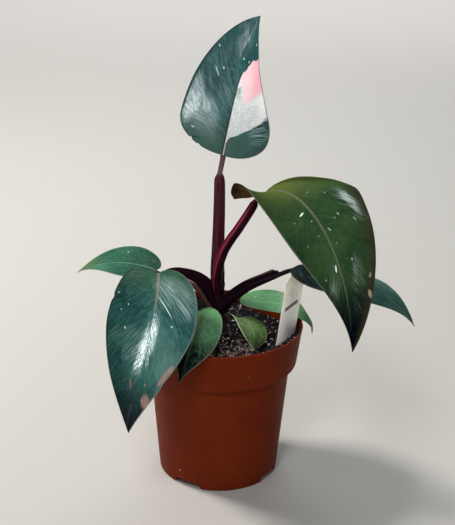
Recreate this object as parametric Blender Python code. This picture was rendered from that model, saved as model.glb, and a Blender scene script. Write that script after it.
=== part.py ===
# Potted pink princess philodendron in a 12 cm nursery pot.
# Sizes below are in millimetres and turned into metres by MM where the meshes are made.
# Origin: centre of the pot's base, +X to the right in the photo, -Y towards the camera, +Z up.
import math

import bmesh
import bpy
import numpy as np
from mathutils import Matrix, Vector

MM = 0.001
GAP = 0.3

# Pot: driving dimensions
POT_HEIGHT = 118.0
RIM_RADIUS = 61.0
WALL = 1.3
COLLAR_HEIGHT = 29.8
COLLAR_FOOT_RADIUS = 57.3
COLLAR_UNDER_ROUND = 1.5
BODY_TOP_RADIUS = 52.4
BODY_FOOT_RADIUS = 44.8
FOOT_ROUND = 1.2
INNER_FOOT_ROUND = 2.0
FLOOR = 1.8
STEP_BOTTOM = POT_HEIGHT - COLLAR_HEIGHT + 1.0
STEP_TOP = STEP_BOTTOM + 2.0
POT_SEGMENTS = 48

# Four raised drainage channels under the pot, the first seen at the photo's lower left
CHANNEL_TURN = -30.4
CHANNEL_COUNT = 4
CHANNEL_START = 18.0
CHANNEL_WIDTH = 24.0
CHANNEL_TOP_WIDTH = 19.0
CHANNEL_HEIGHT = 4.6
DRAIN_RADIUS = 3.5
DRAIN_PLACE = 31.0

# Soil
SOIL_LEVEL = 105.5
MOUND_HEIGHT = 5.5
MOUND_SPREAD = 22.0
SOIL_RIPPLE = 0.6
SOIL_RIPPLE_PITCH = (0.21, 0.17)
SOIL_RINGS = 9
# Soil banked against the wall, or sunk there: azimuth and half span in degrees, then height at the wall
SOIL_BANKS = ((-8.0, 26.0, 9.0), (50.0, 22.0, -4.0), (112.0, 34.0, 8.5))
BANK_START = 40.0

# Stem, standing behind the middle of the pot
STEM_X = -2.8
STEM_Y = 21.5
STEM_BOTTOM = 84.0
STEM_TOP = 150.0
STEM_FOOT_RADIUS = 5.3
STEM_TOP_RADIUS = 5.4
STEM_FOOT_ROUND = 1.5
STEM_FOOT_SLOPE = 4.0
NODE_SWELL = 0.5
NODE_HALF_HEIGHT = 2.5
NODE_HEIGHTS = (119.0, 129.0, 139.0)

# Leaf meshes
BLADE_THICKNESS = 0.8
MARGIN_STEPS = 18
CROSS_STEPS = 4
PETIOLE_SIDES = 10
ROUTE_STEPS = 4
SEAT_REACH = 8.0
SEAT_SLOPE = 0.35
SEAT_EASE = 1.08

# Shares that shape every blade's outline, rib and basal lobes
SINUS_BACK = 1.55
SINUS_SIDE = 0.35
LOBE_BACK = 0.75
LOBE_ROUND = 0.72
SHOULDER_ROUND = 0.42
RIB_BACK = 0.35
RIB_STATIONS = 136
RIB_SPACING = 1.7
LOBE_FOLD_START = 0.06
LOBE_FOLD_SPAN = 0.16

# Label, a plain plastic strip pushed into the soil beside the front right wall
LABEL_WIDTH = 23.5
LABEL_THICKNESS = 0.8
LABEL_DEPTH_IN_SOIL = 18.0
LABEL_HEIGHT = 52.5
LABEL_TURN = 50.0
LABEL_LEAN = 6.5
LABEL_FOOT = (41.0, -17.0, 107.0)
LABEL_POINT = 12.0
LABEL_CHAMFER = 3.0

# A blade is a flat outline bent over a curved rib. Lengths are in millimetres, angles in degrees.
# The rib leaves its base at rise and heading, and droops and swings from there to the tip.
# Fold lifts a half from the rib, curl bends it further across its width.
PLAIN_BLADE = {
    "droop_bias": 1.0, "twist": 0.0, "swing": 0.0, "tip_draw": 0.1, "tip_angle": 15.0,
    "lobe": (0.1, 0.1), "widest": (0.35, 0.35), "belly": (1.0, 1.0), "curl": (0.0, 0.0),
    "lobe_fold": (0.0, 0.0), "seat": 0.9,
}

TOP_BLADE = {
    "base": (-1.0, 17.5, 241.0), "length": 105.0, "half_width": (38.5, 38.5),
    "rise": 80.0, "heading": -12.0, "roll": 83.0, "droop": 12.0, "droop_bias": 1.5,
    "twist": -1.0, "swing": -21.0, "fold": (0.0, 9.0), "fold_at_tip": (0.0, 34.0),
    "curl": (-12.0, 5.0), "lobe": (0.01, 0.01), "widest": (0.21, 0.32), "belly": (1.7, 0.7),
    "tip_draw": 0.0, "tip_angle": 20.0, "seat": 1.9,
}
RIGHT_BLADE = {
    "base": (30.0, -1.5, 219.0), "length": 172.5, "half_width": (42.5, 30.5),
    "rise": 27.0, "heading": -64.0, "roll": 24.0, "droop": 112.0, "droop_bias": 1.05,
    "twist": 16.0, "swing": -2.0, "fold": (16.0, 24.0), "fold_at_tip": (17.0, -60.0),
    "curl": (-74.0, 56.0), "lobe": (0.02, 0.19), "widest": (0.11, 0.23), "belly": (1.2, 1.05),
    "tip_draw": 0.05, "tip_angle": 32.0, "lobe_fold": (0.0, -4.0), "seat": 1.8,
}
LEFT_FRONT_BLADE = {
    "base": (-45.0, -15.5, 161.0), "length": 124.0, "half_width": (30.5, 32.0),
    "rise": -6.0, "heading": -85.0, "roll": 2.0, "droop": 69.0, "droop_bias": 0.7,
    "twist": 3.0, "swing": -41.0, "fold": (2.0, 4.0), "fold_at_tip": (21.0, 15.0),
    "curl": (-28.0, 36.0), "lobe": (0.09, 0.09), "widest": (0.38, 0.38), "belly": (0.95, 0.95),
    "tip_draw": 0.0, "tip_angle": 17.0,
}
LEFT_BACK_BLADE = {
    "base": (-49.0, 12.5, 153.0), "length": 66.0, "half_width": (22.0, 21.5),
    "rise": 15.0, "heading": 165.0, "roll": -4.0, "droop": 49.0,
    "twist": -3.0, "swing": -4.0, "fold": (-1.0, 3.0), "fold_at_tip": (9.0, 28.0),
    "lobe": (0.06, 0.06), "widest": (0.28, 0.27), "belly": (0.65, 0.95),
    "tip_draw": 0.2, "tip_angle": 14.0, "seat": 1.4,
}
LOW_RIGHT_BLADE = {
    "base": (57.0, -11.0, 169.0), "length": 97.0, "half_width": (33.5, 33.5),
    "rise": -2.0, "heading": -2.0, "roll": -18.0, "droop": 53.0, "droop_bias": 1.2,
    "twist": 9.0, "swing": -15.0, "fold": (-21.0, -28.0), "fold_at_tip": (20.0, 3.0),
    "curl": (0.0, -11.0), "lobe": (0.07, 0.13), "widest": (0.36, 0.38), "belly": (1.05, 1.05),
    "tip_draw": 0.15, "tip_angle": 15.0, "seat": 1.5,
}
BACK_RIGHT_BLADE = {
    "base": (14.5, 18.5, 127.0), "length": 70.0, "half_width": (20.0, 14.0),
    "rise": 2.5, "heading": -11.5, "roll": 2.0, "droop": 107.0, "droop_bias": 2.78, "twist": 0.5,
    "swing": 24.5, "fold": (8.5, 4.0), "fold_at_tip": (-7.0, -16.5), "lobe": (0.02, 0.01),
    "widest": (0.39, 0.36), "belly": (1.5, 2.2), "tip_draw": 0.0, "tip_angle": 13.0,
}
SMALL_LEFT_BLADE = {
    "base": (-15.0, -14.5, 132.0), "length": 73.5, "half_width": (18.0, 19.0),
    "rise": -1.0, "heading": -90.0, "roll": 0.0, "droop": 44.0, "droop_bias": 1.2,
    "twist": -3.0, "swing": -23.0, "fold": (6.0, -5.0), "fold_at_tip": (-5.0, 0.0),
    "lobe": (0.13, 0.13), "widest": (0.38, 0.38), "belly": (1.3, 1.15),
    "tip_draw": 0.3, "tip_angle": 9.0,
}
SMALL_FRONT_BLADE = {
    "base": (13.0, 3.0, 119.0), "length": 42.0, "half_width": (15.0, 14.0),
    "rise": 16.0, "heading": -49.0, "roll": -18.0, "droop": 52.0,
    "twist": -11.0, "swing": -49.0, "fold": (14.0, 17.0), "fold_at_tip": (-30.0, -7.0),
    "lobe": (0.14, 0.14), "widest": (0.39, 0.39), "belly": (1.35, 1.35),
    "tip_draw": 0.0, "tip_angle": 12.0,
}

# Petiole routes: (x, y, z, radius) from inside the stem to just behind the blade's base
TOP_ROUTE = [
    (-3.1, 21.4, STEM_TOP + GAP, 5.2), (-3.0, 21.3, 165.0, 4.8), (-2.7, 20.4, 182.0, 4.5),
    (-2.5, 19.9, 199.0, 4.3), (-2.5, 19.6, 214.0, 4.1), (-2.6, 19.5, 221.0, 3.5), (-2.6, 19.5, 225.0, 2.1),
]
RIGHT_ROUTE = [
    (-2.8, 21.5, 134.0, 3.6), (-2.2, 17.0, 141.0, 3.5), (-1.4, 12.0, 152.0, 3.4), (0.3, 10.8, 165.5, 3.3),
    (6.7, 9.4, 182.5, 3.3), (14.0, 5.5, 195.0, 3.3), (20.8, 2.2, 206.0, 3.3),
]
LEFT_FRONT_ROUTE = [
    (-2.8, 21.5, 115.5, 1.9), (-9.7, 15.9, 123.5, 1.9), (-13.3, 10.9, 132.3, 1.9),
    (-17.3, 4.7, 141.0, 1.8), (-22.3, -2.0, 149.0, 1.8), (-31.0, -8.0, 155.0, 1.7),
]
LEFT_BACK_ROUTE = [
    (-2.8, 21.5, 122.0, 4.6), (-7.0, 21.6, 129.9, 5.1), (-11.5, 20.6, 138.1, 5.0),
    (-17.5, 19.0, 144.1, 4.8), (-25.3, 16.8, 148.4, 4.3), (-34.5, 14.5, 151.0, 3.4),
]
LOW_RIGHT_ROUTE = [
    (-2.8, 21.5, 119.0, 4.2), (2.3, 18.0, 124.8, 4.4), (7.4, 14.0, 131.1, 4.6), (14.0, 9.0, 139.0, 4.9),
    (21.1, 3.0, 146.8, 4.9), (29.7, -2.0, 153.2, 4.5), (37.6, -5.0, 157.2, 3.7), (40.4, -6.0, 158.6, 1.9),
    (46.3, -8.0, 162.0, 1.7),
]
BACK_RIGHT_ROUTE = [
    (-2.8, 21.5, 115.5, 1.2), (2.5, 23.0, 115.7, 1.2), (5.0, 23.0, 118.0, 1.1),
]
SMALL_LEFT_ROUTE = [
    (-2.8, 21.5, 115.0, 1.5), (-3.9, 14.0, 119.5, 1.5), (-7.5, 4.5, 126.0, 1.5),
]
SMALL_FRONT_ROUTE = [
    (-2.8, 21.5, 115.5, 1.0), (0.5, 16.0, 115.2, 1.0), (4.5, 10.5, 115.8, 1.0),
]

# Leaves in the order they grew: name, blade, petiole route, blade colour, petiole colour
TEAL = (0.020, 0.072, 0.050)
OLIVE = (0.030, 0.070, 0.018)
NAVY = (0.012, 0.030, 0.034)
FRESH = (0.050, 0.150, 0.050)
DARK_RED = (0.055, 0.012, 0.018)
PINK_BROWN = (0.180, 0.070, 0.060)
PALE_GREEN = (0.160, 0.200, 0.080)
LEAVES = [
    ("top", TOP_BLADE, TOP_ROUTE, TEAL, DARK_RED),
    ("right", RIGHT_BLADE, RIGHT_ROUTE, OLIVE, DARK_RED),
    ("left_front", LEFT_FRONT_BLADE, LEFT_FRONT_ROUTE, TEAL, PINK_BROWN),
    ("left_back", LEFT_BACK_BLADE, LEFT_BACK_ROUTE, TEAL, DARK_RED),
    ("low_right", LOW_RIGHT_BLADE, LOW_RIGHT_ROUTE, NAVY, DARK_RED),
    ("back_right", BACK_RIGHT_BLADE, BACK_RIGHT_ROUTE, FRESH, DARK_RED),
    ("small_left", SMALL_LEFT_BLADE, SMALL_LEFT_ROUTE, FRESH, PALE_GREEN),
    ("small_front", SMALL_FRONT_BLADE, SMALL_FRONT_ROUTE, OLIVE, PALE_GREEN),
]


def clear_scene():
    for obj in list(bpy.data.objects):
        bpy.data.objects.remove(obj, do_unlink=True)


def make_material(name, colour, roughness):
    mat = bpy.data.materials.new(name)
    mat.use_nodes = True
    shader = mat.node_tree.nodes["Principled BSDF"]
    shader.inputs["Base Color"].default_value = (*colour, 1.0)
    shader.inputs["Roughness"].default_value = roughness
    shader.inputs["Metallic"].default_value = 0.0
    mat.diffuse_color = (*colour, 1.0)
    return mat


# Turns a bmesh in millimetres into an object in metres
def add_object(name, bm, mat, smooth_angle=40.0):
    bmesh.ops.scale(bm, vec=(MM, MM, MM), verts=bm.verts)
    bmesh.ops.recalc_face_normals(bm, faces=bm.faces)
    mesh = bpy.data.meshes.new(name)
    bm.to_mesh(mesh)
    bm.free()
    obj = bpy.data.objects.new(name, mesh)
    bpy.context.scene.collection.objects.link(obj)
    if mat:
        mesh.materials.append(mat)
    mesh.shade_smooth()
    mesh.set_sharp_from_angle(angle=math.radians(smooth_angle))
    return obj


def hide_cutter(obj):
    obj.hide_render = True
    obj.display_type = "WIRE"
    return obj


def cut(obj, cutter):
    boolean = obj.modifiers.new("cut " + cutter.name, "BOOLEAN")
    boolean.operation = "DIFFERENCE"
    boolean.solver = "EXACT"
    boolean.object = cutter
    return boolean


# Turns a profile of (radius, height) points about the vertical line through centre
def turned(profile, segments, centre=(0.0, 0.0)):
    bm = bmesh.new()
    verts = [bm.verts.new((radius, 0.0, height)) for radius, height in profile]
    edges = [bm.edges.new(pair) for pair in zip(verts, verts[1:])]
    bmesh.ops.spin(bm, geom=verts + edges, cent=(0, 0, 0), axis=(0, 0, 1),
                   angle=math.tau, steps=segments, use_merge=True)
    bmesh.ops.remove_doubles(bm, verts=bm.verts, dist=0.01)
    bmesh.ops.translate(bm, vec=(*centre, 0.0), verts=bm.verts)
    return bm


def arc(centre, radius, start, end, steps):
    angles = [math.radians(start + (end - start) * i / steps) for i in range(steps + 1)]
    return [(centre[0] + radius * math.cos(a), centre[1] + radius * math.sin(a)) for a in angles]


# Inner wall radius at a height, with the step where the collar begins
def inner_radius(height):
    heights = [FLOOR + INNER_FOOT_ROUND, STEP_BOTTOM, STEP_TOP, POT_HEIGHT]
    outer = [BODY_FOOT_RADIUS, BODY_TOP_RADIUS, COLLAR_FOOT_RADIUS, RIM_RADIUS]
    return float(np.interp(height, heights, [radius - WALL for radius in outer]))


def pot_outer_profile():
    collar_foot = POT_HEIGHT - COLLAR_HEIGHT
    foot = arc((BODY_FOOT_RADIUS - FOOT_ROUND, FOOT_ROUND), FOOT_ROUND, -90, 0, 4)
    under_centre = (COLLAR_FOOT_RADIUS - COLLAR_UNDER_ROUND, collar_foot + COLLAR_UNDER_ROUND)
    collar_under = arc(under_centre, COLLAR_UNDER_ROUND, -90, 0, 3)
    lip = arc((RIM_RADIUS - WALL / 2, POT_HEIGHT - WALL / 2), WALL / 2, 0, 90, 3)
    return ([(0.0, 0.0)] + foot + [(BODY_TOP_RADIUS, collar_foot)] + collar_under + lip
            + [(0.0, POT_HEIGHT)])


def pot_cavity_profile():
    foot_centre = (inner_radius(FLOOR) - INNER_FOOT_ROUND, FLOOR + INNER_FOOT_ROUND)
    inner_foot = arc(foot_centre, INNER_FOOT_ROUND, -90, 0, 3)
    steps = [STEP_BOTTOM, STEP_TOP, POT_HEIGHT - 1.0]
    return ([(0.0, FLOOR)] + inner_foot + [(inner_radius(height), height) for height in steps]
            + [(RIM_RADIUS - WALL / 2, POT_HEIGHT), (RIM_RADIUS - WALL / 2, POT_HEIGHT + 5.0),
               (0.0, POT_HEIGHT + 5.0)])


# Radial trapezoid bars under the pot's floor, widened by grow on every side
def channel_bars(grow, reach, name):
    bm = bmesh.new()
    low = CHANNEL_WIDTH / 2 + grow
    high = CHANNEL_TOP_WIDTH / 2 + grow
    top = CHANNEL_HEIGHT + grow
    start = CHANNEL_START - grow
    for i in range(CHANNEL_COUNT):
        turn = Matrix.Rotation(math.radians(CHANNEL_TURN - 90.0 + i * 360.0 / CHANNEL_COUNT), 3, "Z")
        ends = []
        for along in (start, reach):
            corners = [(along, -low, -1.0), (along, low, -1.0), (along, high, top), (along, -high, top)]
            ends.append([bm.verts.new(turn @ Vector(corner)) for corner in corners])
        bm.faces.new(ends[0])
        bm.faces.new(reversed(ends[1]))
        for j in range(4):
            k = (j + 1) % 4
            bm.faces.new((ends[0][j], ends[1][j], ends[1][k], ends[0][k]))
    return hide_cutter(add_object(name, bm, None))


def drain_cutters():
    bm = bmesh.new()
    for i in range(CHANNEL_COUNT):
        turn = math.radians(CHANNEL_TURN - 90.0 + i * 360.0 / CHANNEL_COUNT)
        place = Matrix.Translation((DRAIN_PLACE * math.cos(turn), DRAIN_PLACE * math.sin(turn), 5.0))
        bmesh.ops.create_cone(bm, cap_ends=True, segments=16, radius1=DRAIN_RADIUS,
                              radius2=DRAIN_RADIUS, depth=20.0, matrix=place)
    return hide_cutter(add_object("drain_cutters", bm, None))


def make_pot():
    terracotta = make_material("terracotta_plastic", (0.250, 0.060, 0.022), 0.55)
    pot = add_object("pot", turned(pot_outer_profile(), POT_SEGMENTS), terracotta, 25.0)
    cavity = hide_cutter(add_object("pot_cavity", turned(pot_cavity_profile(), POT_SEGMENTS), None))
    cut(cavity, channel_bars(WALL, RIM_RADIUS, "channel_roofs"))
    cut(pot, cavity)
    cut(pot, channel_bars(0.0, RIM_RADIUS, "channel_cutters"))
    cut(pot, drain_cutters())
    return pot


def soil_height(x, y):
    distance = math.hypot(x - STEM_X, y - STEM_Y)
    ripple = SOIL_RIPPLE * math.sin(x * SOIL_RIPPLE_PITCH[0] + 0.7) * math.cos(y * SOIL_RIPPLE_PITCH[1])
    outward = max(0.0, (math.hypot(x, y) - BANK_START) / (RIM_RADIUS - BANK_START)) ** 2
    bank = 0.0
    for azimuth, span, height in SOIL_BANKS:
        away = (math.degrees(math.atan2(y, x)) - azimuth + 180.0) % 360.0 - 180.0
        bank += height * math.exp(-(away / span) ** 2)
    return SOIL_LEVEL + MOUND_HEIGHT * math.exp(-(distance / MOUND_SPREAD) ** 2) + ripple + bank * outward


# Soil: a rippled top with a mound round the stem, and sides that follow the pot's inner wall
def make_soil(stem_cutter, label_cutter):
    bm = bmesh.new()
    angles = [math.tau * i / POT_SEGMENTS for i in range(POT_SEGMENTS)]
    top = bm.verts.new((0.0, 0.0, soil_height(0.0, 0.0)))
    rings = []
    for k in range(1, SOIL_RINGS + 1):
        ring = []
        for a in angles:
            edge = inner_radius(soil_height(RIM_RADIUS * math.cos(a), RIM_RADIUS * math.sin(a))) - 2 * GAP
            x, y = edge * math.cos(a) * k / SOIL_RINGS, edge * math.sin(a) * k / SOIL_RINGS
            ring.append(bm.verts.new((x, y, soil_height(x, y))))
        rings.append(ring)
    for wall_height in (STEP_TOP, STEP_BOTTOM, CHANNEL_HEIGHT + WALL):
        radius = inner_radius(wall_height) - GAP
        height = wall_height + GAP
        rings.append([bm.verts.new((radius * math.cos(a), radius * math.sin(a), height)) for a in angles])
    for i in range(POT_SEGMENTS):
        j = (i + 1) % POT_SEGMENTS
        bm.faces.new((top, rings[0][i], rings[0][j]))
        for inner, outer in zip(rings, rings[1:]):
            bm.faces.new((inner[i], outer[i], outer[j]))
            bm.faces.new((inner[i], outer[j], inner[j]))
    bm.faces.new(rings[-1])
    soil = add_object("soil", bm, make_material("potting_soil", (0.035, 0.024, 0.018), 0.95))
    cut(soil, stem_cutter)
    cut(soil, label_cutter)
    return soil


# The stem's turned profile with a swollen ring at each node, widened by grow
def stem_profile(grow):
    bottom = STEM_BOTTOM - grow
    top = STEM_TOP + grow
    foot = STEM_FOOT_RADIUS + grow
    profile = [(0.0, bottom), (foot - STEM_FOOT_ROUND, bottom), (foot, bottom + STEM_FOOT_SLOPE)]
    for height in NODE_HEIGHTS:
        for offset, swell in ((-NODE_HALF_HEIGHT, 0.0), (0.0, NODE_SWELL), (NODE_HALF_HEIGHT, 0.0)):
            share = (height + offset - STEM_BOTTOM) / (STEM_TOP - STEM_BOTTOM)
            radius = STEM_FOOT_RADIUS + (STEM_TOP_RADIUS - STEM_FOOT_RADIUS) * share
            profile.append((radius + swell + grow, height + offset))
    return profile + [(STEM_TOP_RADIUS + grow, top), (0.0, top)]


def make_stem(mat):
    return add_object("main_stem", turned(stem_profile(0.0), 18, (STEM_X, STEM_Y)), mat)


def make_stem_cutter():
    cutter = add_object("stem_clearance", turned(stem_profile(GAP), 18, (STEM_X, STEM_Y)), None)
    return hide_cutter(cutter)


# A petiole's last two points: under the blade's lobe, then against the underside of its base
def seat_points(blade, last):
    path, left, up = [frame[0] for frame in rib_frames(blade, np.array([0.0]))]
    radius = blade["seat"]
    drop = (BLADE_THICKNESS / 2 + GAP + radius) * SEAT_EASE
    seat = path - up * drop + np.cross(left, up) * radius
    back = np.array(last[:3]) - seat
    back -= up * back.dot(up)
    back *= SEAT_REACH / np.linalg.norm(back)
    lobe = min(max(blade["lobe"]) * blade["length"], SEAT_REACH)
    approach = seat + back - up * lobe * SEAT_SLOPE
    return [(*approach, (last[3] + radius) / 2), (*seat, radius)]


# A smooth Catmull-Rom line through the route's points, with the radius as a fourth coordinate
def smooth_route(route):
    points = [np.array(p) for p in route]
    points = [2 * points[0] - points[1]] + points + [2 * points[-1] - points[-2]]
    line = []
    for i in range(1, len(points) - 2):
        p0, p1, p2, p3 = points[i - 1:i + 3]
        for k in range(ROUTE_STEPS):
            t = k / ROUTE_STEPS
            line.append(0.5 * (2 * p1 + (p2 - p0) * t + (2 * p0 - 5 * p1 + 4 * p2 - p3) * t ** 2
                               + (3 * p1 - p0 - 3 * p2 + p3) * t ** 3))
    line.append(points[-2])
    return line


# A round tube along a route, with flat closed ends
def make_petiole(name, route, mat):
    line = smooth_route(route)
    bm = bmesh.new()
    rings = []
    across = Vector((0.0, 1.0, 0.0))
    for i, point in enumerate(line):
        ahead = Vector((line[min(i + 1, len(line) - 1)] - line[max(i - 1, 0)])[:3]).normalized()
        across = (across - ahead * across.dot(ahead)).normalized()
        up = ahead.cross(across)
        ring = []
        for k in range(PETIOLE_SIDES):
            a = math.tau * k / PETIOLE_SIDES
            offset = across * math.cos(a) + up * math.sin(a)
            ring.append(bm.verts.new(Vector(point[:3]) + offset * point[3]))
        rings.append(ring)
    for low, high in zip(rings, rings[1:]):
        for k in range(PETIOLE_SIDES):
            n = (k + 1) % PETIOLE_SIDES
            bm.faces.new((low[k], low[n], high[n]))
            bm.faces.new((low[k], high[n], high[k]))
    bm.faces.new(rings[0])
    bm.faces.new(rings[-1])
    return add_object(name, bm, mat, 50.0)


def bezier(p0, p1, p2, p3, steps):
    t = np.linspace(0.0, 1.0, steps + 1)[:, None]
    return (1 - t) ** 3 * p0 + 3 * (1 - t) ** 2 * t * p1 + 3 * (1 - t) * t * t * p2 + t ** 3 * p3


# Flat margin of one half from the sinus round the basal lobe to the tip: x along the rib, y across
def half_outline(blade, half):
    length = blade["length"]
    width = blade["half_width"][half]
    reach = blade["lobe"][half] * length
    widest = blade["widest"][half] * length
    ahead = length - widest
    angle = math.radians(blade["tip_angle"])
    sinus = np.array((0.0, 0.0))
    side = np.array((widest, width))
    tip = np.array((length, 0.0))
    lobe = bezier(sinus, sinus + (-SINUS_BACK * reach, SINUS_SIDE * width),
                  side + (-(widest + LOBE_BACK * reach) * LOBE_ROUND, 0.0), side, MARGIN_STEPS // 2)
    drawn = tip + np.array((-math.cos(angle), math.sin(angle))) * blade["tip_draw"] * ahead
    shoulder = bezier(side, side + (SHOULDER_ROUND * ahead * blade["belly"][half], 0.0), drawn, tip,
                      MARGIN_STEPS - MARGIN_STEPS // 2)
    return np.concatenate([lobe, shoulder[1:]])


# Position, left and up vectors of the rib at a flat distance along it
def rib_frames(blade, distance):
    length = blade["length"]
    stations = np.linspace(-RIB_BACK * length, length, RIB_STATIONS)
    share = np.clip(stations / length, 0.0, 1.0)
    rise = np.radians(blade["rise"] - blade["droop"] * share ** blade["droop_bias"])
    heading = np.radians(blade["heading"] + blade["swing"] * share)
    flat = np.zeros_like(rise)
    ahead = np.stack([np.cos(rise) * np.cos(heading), np.cos(rise) * np.sin(heading), np.sin(rise)], -1)
    step = stations[1] - stations[0]
    path = np.concatenate([np.zeros((1, 3)), np.cumsum((ahead[1:] + ahead[:-1]) / 2 * step, 0)])
    level = np.stack([-np.sin(heading), np.cos(heading), flat], -1)
    roll = np.radians(blade["roll"] + blade["twist"] * share)[:, None]
    left = np.cos(roll) * level + np.sin(roll) * np.cross(ahead, level)
    up = np.cross(ahead, left)
    start = [np.interp(0.0, stations, path[:, k]) for k in range(3)]
    path = path - start + np.array(blade["base"])
    return [np.stack([np.interp(distance, stations, column) for column in data.T], -1)
            for data in (path, left, up)]


# Bends flat points of one half over the rib; half 0 is the left one, half 1 the right one
def bend_half(blade, flat, half):
    path, left, up = rib_frames(blade, flat[:, 0])
    share = np.clip(flat[:, 0] / blade["length"], 0.0, 1.0)
    behind = np.clip((LOBE_FOLD_START - flat[:, 0] / blade["length"]) / LOBE_FOLD_SPAN, 0.0, 1.0)
    fold = blade["fold"][half] * (1 - share) + blade["fold_at_tip"][half] * share
    fold = np.radians(fold + blade["lobe_fold"][half] * behind ** 2 * (3 - 2 * behind))
    curl = math.radians(blade["curl"][half] or 0.01) / blade["half_width"][half]
    across = (np.sin(fold + curl * flat[:, 1]) - np.sin(fold)) / curl
    lift = -(np.cos(fold + curl * flat[:, 1]) - np.cos(fold)) / curl
    sign = 1.0 if half == 0 else -1.0
    return path + sign * left * across[:, None] + up * lift[:, None]


# A blade: mesh lines run from the rib to the margin on both halves, then Solidify gives the thickness
def make_blade(name, blade, mat):
    bm = bmesh.new()
    rib_flat = np.stack([blade["length"] * np.linspace(0, 1, MARGIN_STEPS + 1) ** RIB_SPACING,
                         np.zeros(MARGIN_STEPS + 1)], -1)
    rib = [bm.verts.new(point) for point in bend_half(blade, rib_flat, 0)]
    for half in (0, 1):
        outline = half_outline(blade, half)
        rows = []
        for i in range(MARGIN_STEPS + 1):
            if i in (0, MARGIN_STEPS):
                rows.append([rib[i]] * (CROSS_STEPS + 1))
                continue
            shares = np.linspace(0, 1, CROSS_STEPS + 1)[1:, None]
            flat = rib_flat[i] * (1 - shares) + outline[i] * shares
            rows.append([rib[i]] + [bm.verts.new(point) for point in bend_half(blade, flat, half)])
        for low, high in zip(rows, rows[1:]):
            for j in range(CROSS_STEPS):
                for corners in ((low[j], low[j + 1], high[j + 1]), (low[j], high[j + 1], high[j])):
                    if len(set(corners)) == 3:
                        bm.faces.new(corners if half else reversed(corners))
    obj = add_object(name, bm, mat, 80.0)
    solidify = obj.modifiers.new("thickness", "SOLIDIFY")
    solidify.thickness = BLADE_THICKNESS * MM
    solidify.offset = 0.0
    return obj


# The label's outline in its own plane, pointed at the buried end, widened by grow
def label_bmesh(grow):
    half = LABEL_WIDTH / 2 + grow
    deep = -LABEL_DEPTH_IN_SOIL - grow
    thick = LABEL_THICKNESS / 2 + grow
    shoulder = LABEL_HEIGHT - LABEL_CHAMFER
    outline = [(0.0, deep), (half, deep + LABEL_POINT), (half, shoulder), (half - LABEL_CHAMFER, LABEL_HEIGHT),
               (LABEL_CHAMFER - half, LABEL_HEIGHT), (-half, shoulder), (-half, deep + LABEL_POINT)]
    bm = bmesh.new()
    front = [bm.verts.new((x, -thick, z)) for x, z in outline]
    back = [bm.verts.new((x, thick, z)) for x, z in outline]
    bm.faces.new(front)
    bm.faces.new(reversed(back))
    for i in range(len(outline)):
        j = (i + 1) % len(outline)
        bm.faces.new((front[i], back[i], back[j], front[j]))
    return bm


def place_label(obj):
    turn = Matrix.Rotation(math.radians(LABEL_TURN), 4, "Z")
    lean = Matrix.Rotation(math.radians(LABEL_LEAN), 4, "Y")
    middle = Vector((LABEL_WIDTH / 2, 0.0, 0.0))
    place = Matrix.Translation(Vector(LABEL_FOOT) * MM) @ lean @ turn @ Matrix.Translation(middle * MM)
    obj.matrix_world = place
    return obj


def build_part():
    clear_scene()
    stem_mat = make_material("stem", DARK_RED, 0.4)
    stem_cutter = make_stem_cutter()
    label_cutter = place_label(hide_cutter(add_object("label_slot", label_bmesh(GAP), None)))
    make_pot()
    make_soil(stem_cutter, label_cutter)
    make_stem(stem_mat)
    for name, blade, route, blade_colour, petiole_colour in LEAVES:
        petiole_mat = make_material(name + "_petiole_skin", petiole_colour, 0.35)
        blade_mat = make_material(name + "_blade_skin", blade_colour, 0.35)
        blade = {**PLAIN_BLADE, **blade}
        petiole = make_petiole(name + "_petiole", route + seat_points(blade, route[-1]), petiole_mat)
        if name != "top":
            cut(petiole, stem_cutter)
        make_blade(name + "_blade", blade, blade_mat)
    label_mat = make_material("white_plastic", (0.800, 0.790, 0.740), 0.5)
    place_label(add_object("plant_label", label_bmesh(0.0), label_mat))


build_part()
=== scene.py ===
# Potted pink princess philodendron: leaves, petioles, soil, pot and label
# Lengths in the dictionaries are millimetres, angles are degrees
import math
import random

import bmesh
import bpy
import numpy as np
from mathutils import Euler, Matrix, Vector, noise


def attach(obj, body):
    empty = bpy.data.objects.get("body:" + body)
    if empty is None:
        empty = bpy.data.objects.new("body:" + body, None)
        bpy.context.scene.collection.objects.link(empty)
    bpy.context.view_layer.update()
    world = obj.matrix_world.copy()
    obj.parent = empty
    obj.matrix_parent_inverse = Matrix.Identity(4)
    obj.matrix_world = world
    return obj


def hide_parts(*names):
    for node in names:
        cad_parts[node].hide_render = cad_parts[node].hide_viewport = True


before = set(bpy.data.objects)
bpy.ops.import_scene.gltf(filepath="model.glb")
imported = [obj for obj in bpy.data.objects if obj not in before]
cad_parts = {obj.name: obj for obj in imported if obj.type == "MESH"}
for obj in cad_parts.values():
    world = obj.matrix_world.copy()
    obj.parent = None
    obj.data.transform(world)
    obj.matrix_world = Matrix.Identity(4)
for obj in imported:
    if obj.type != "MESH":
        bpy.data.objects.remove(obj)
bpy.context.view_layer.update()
print("frame loaded:", len(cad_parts), "nodes")

mm = 0.001
plainBody = "root"


# Materials: a Field is a value in a node tree, and plain arithmetic on it adds the nodes

def addNode(tree, kind, inputs=None, **settings):
    node = tree.nodes.new(kind)
    for key, value in settings.items():
        setattr(node, key, value)
    for key, value in (inputs or {}).items():
        if isinstance(value, Field):
            tree.links.new(value.socket, node.inputs[key])
        else:
            node.inputs[key].default_value = value
    return node


def calc(operation, first, second=0.0):
    tree = first.tree if isinstance(first, Field) else second.tree
    return Field(addNode(tree, "ShaderNodeMath", {0: first, 1: second}, operation=operation))


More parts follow.
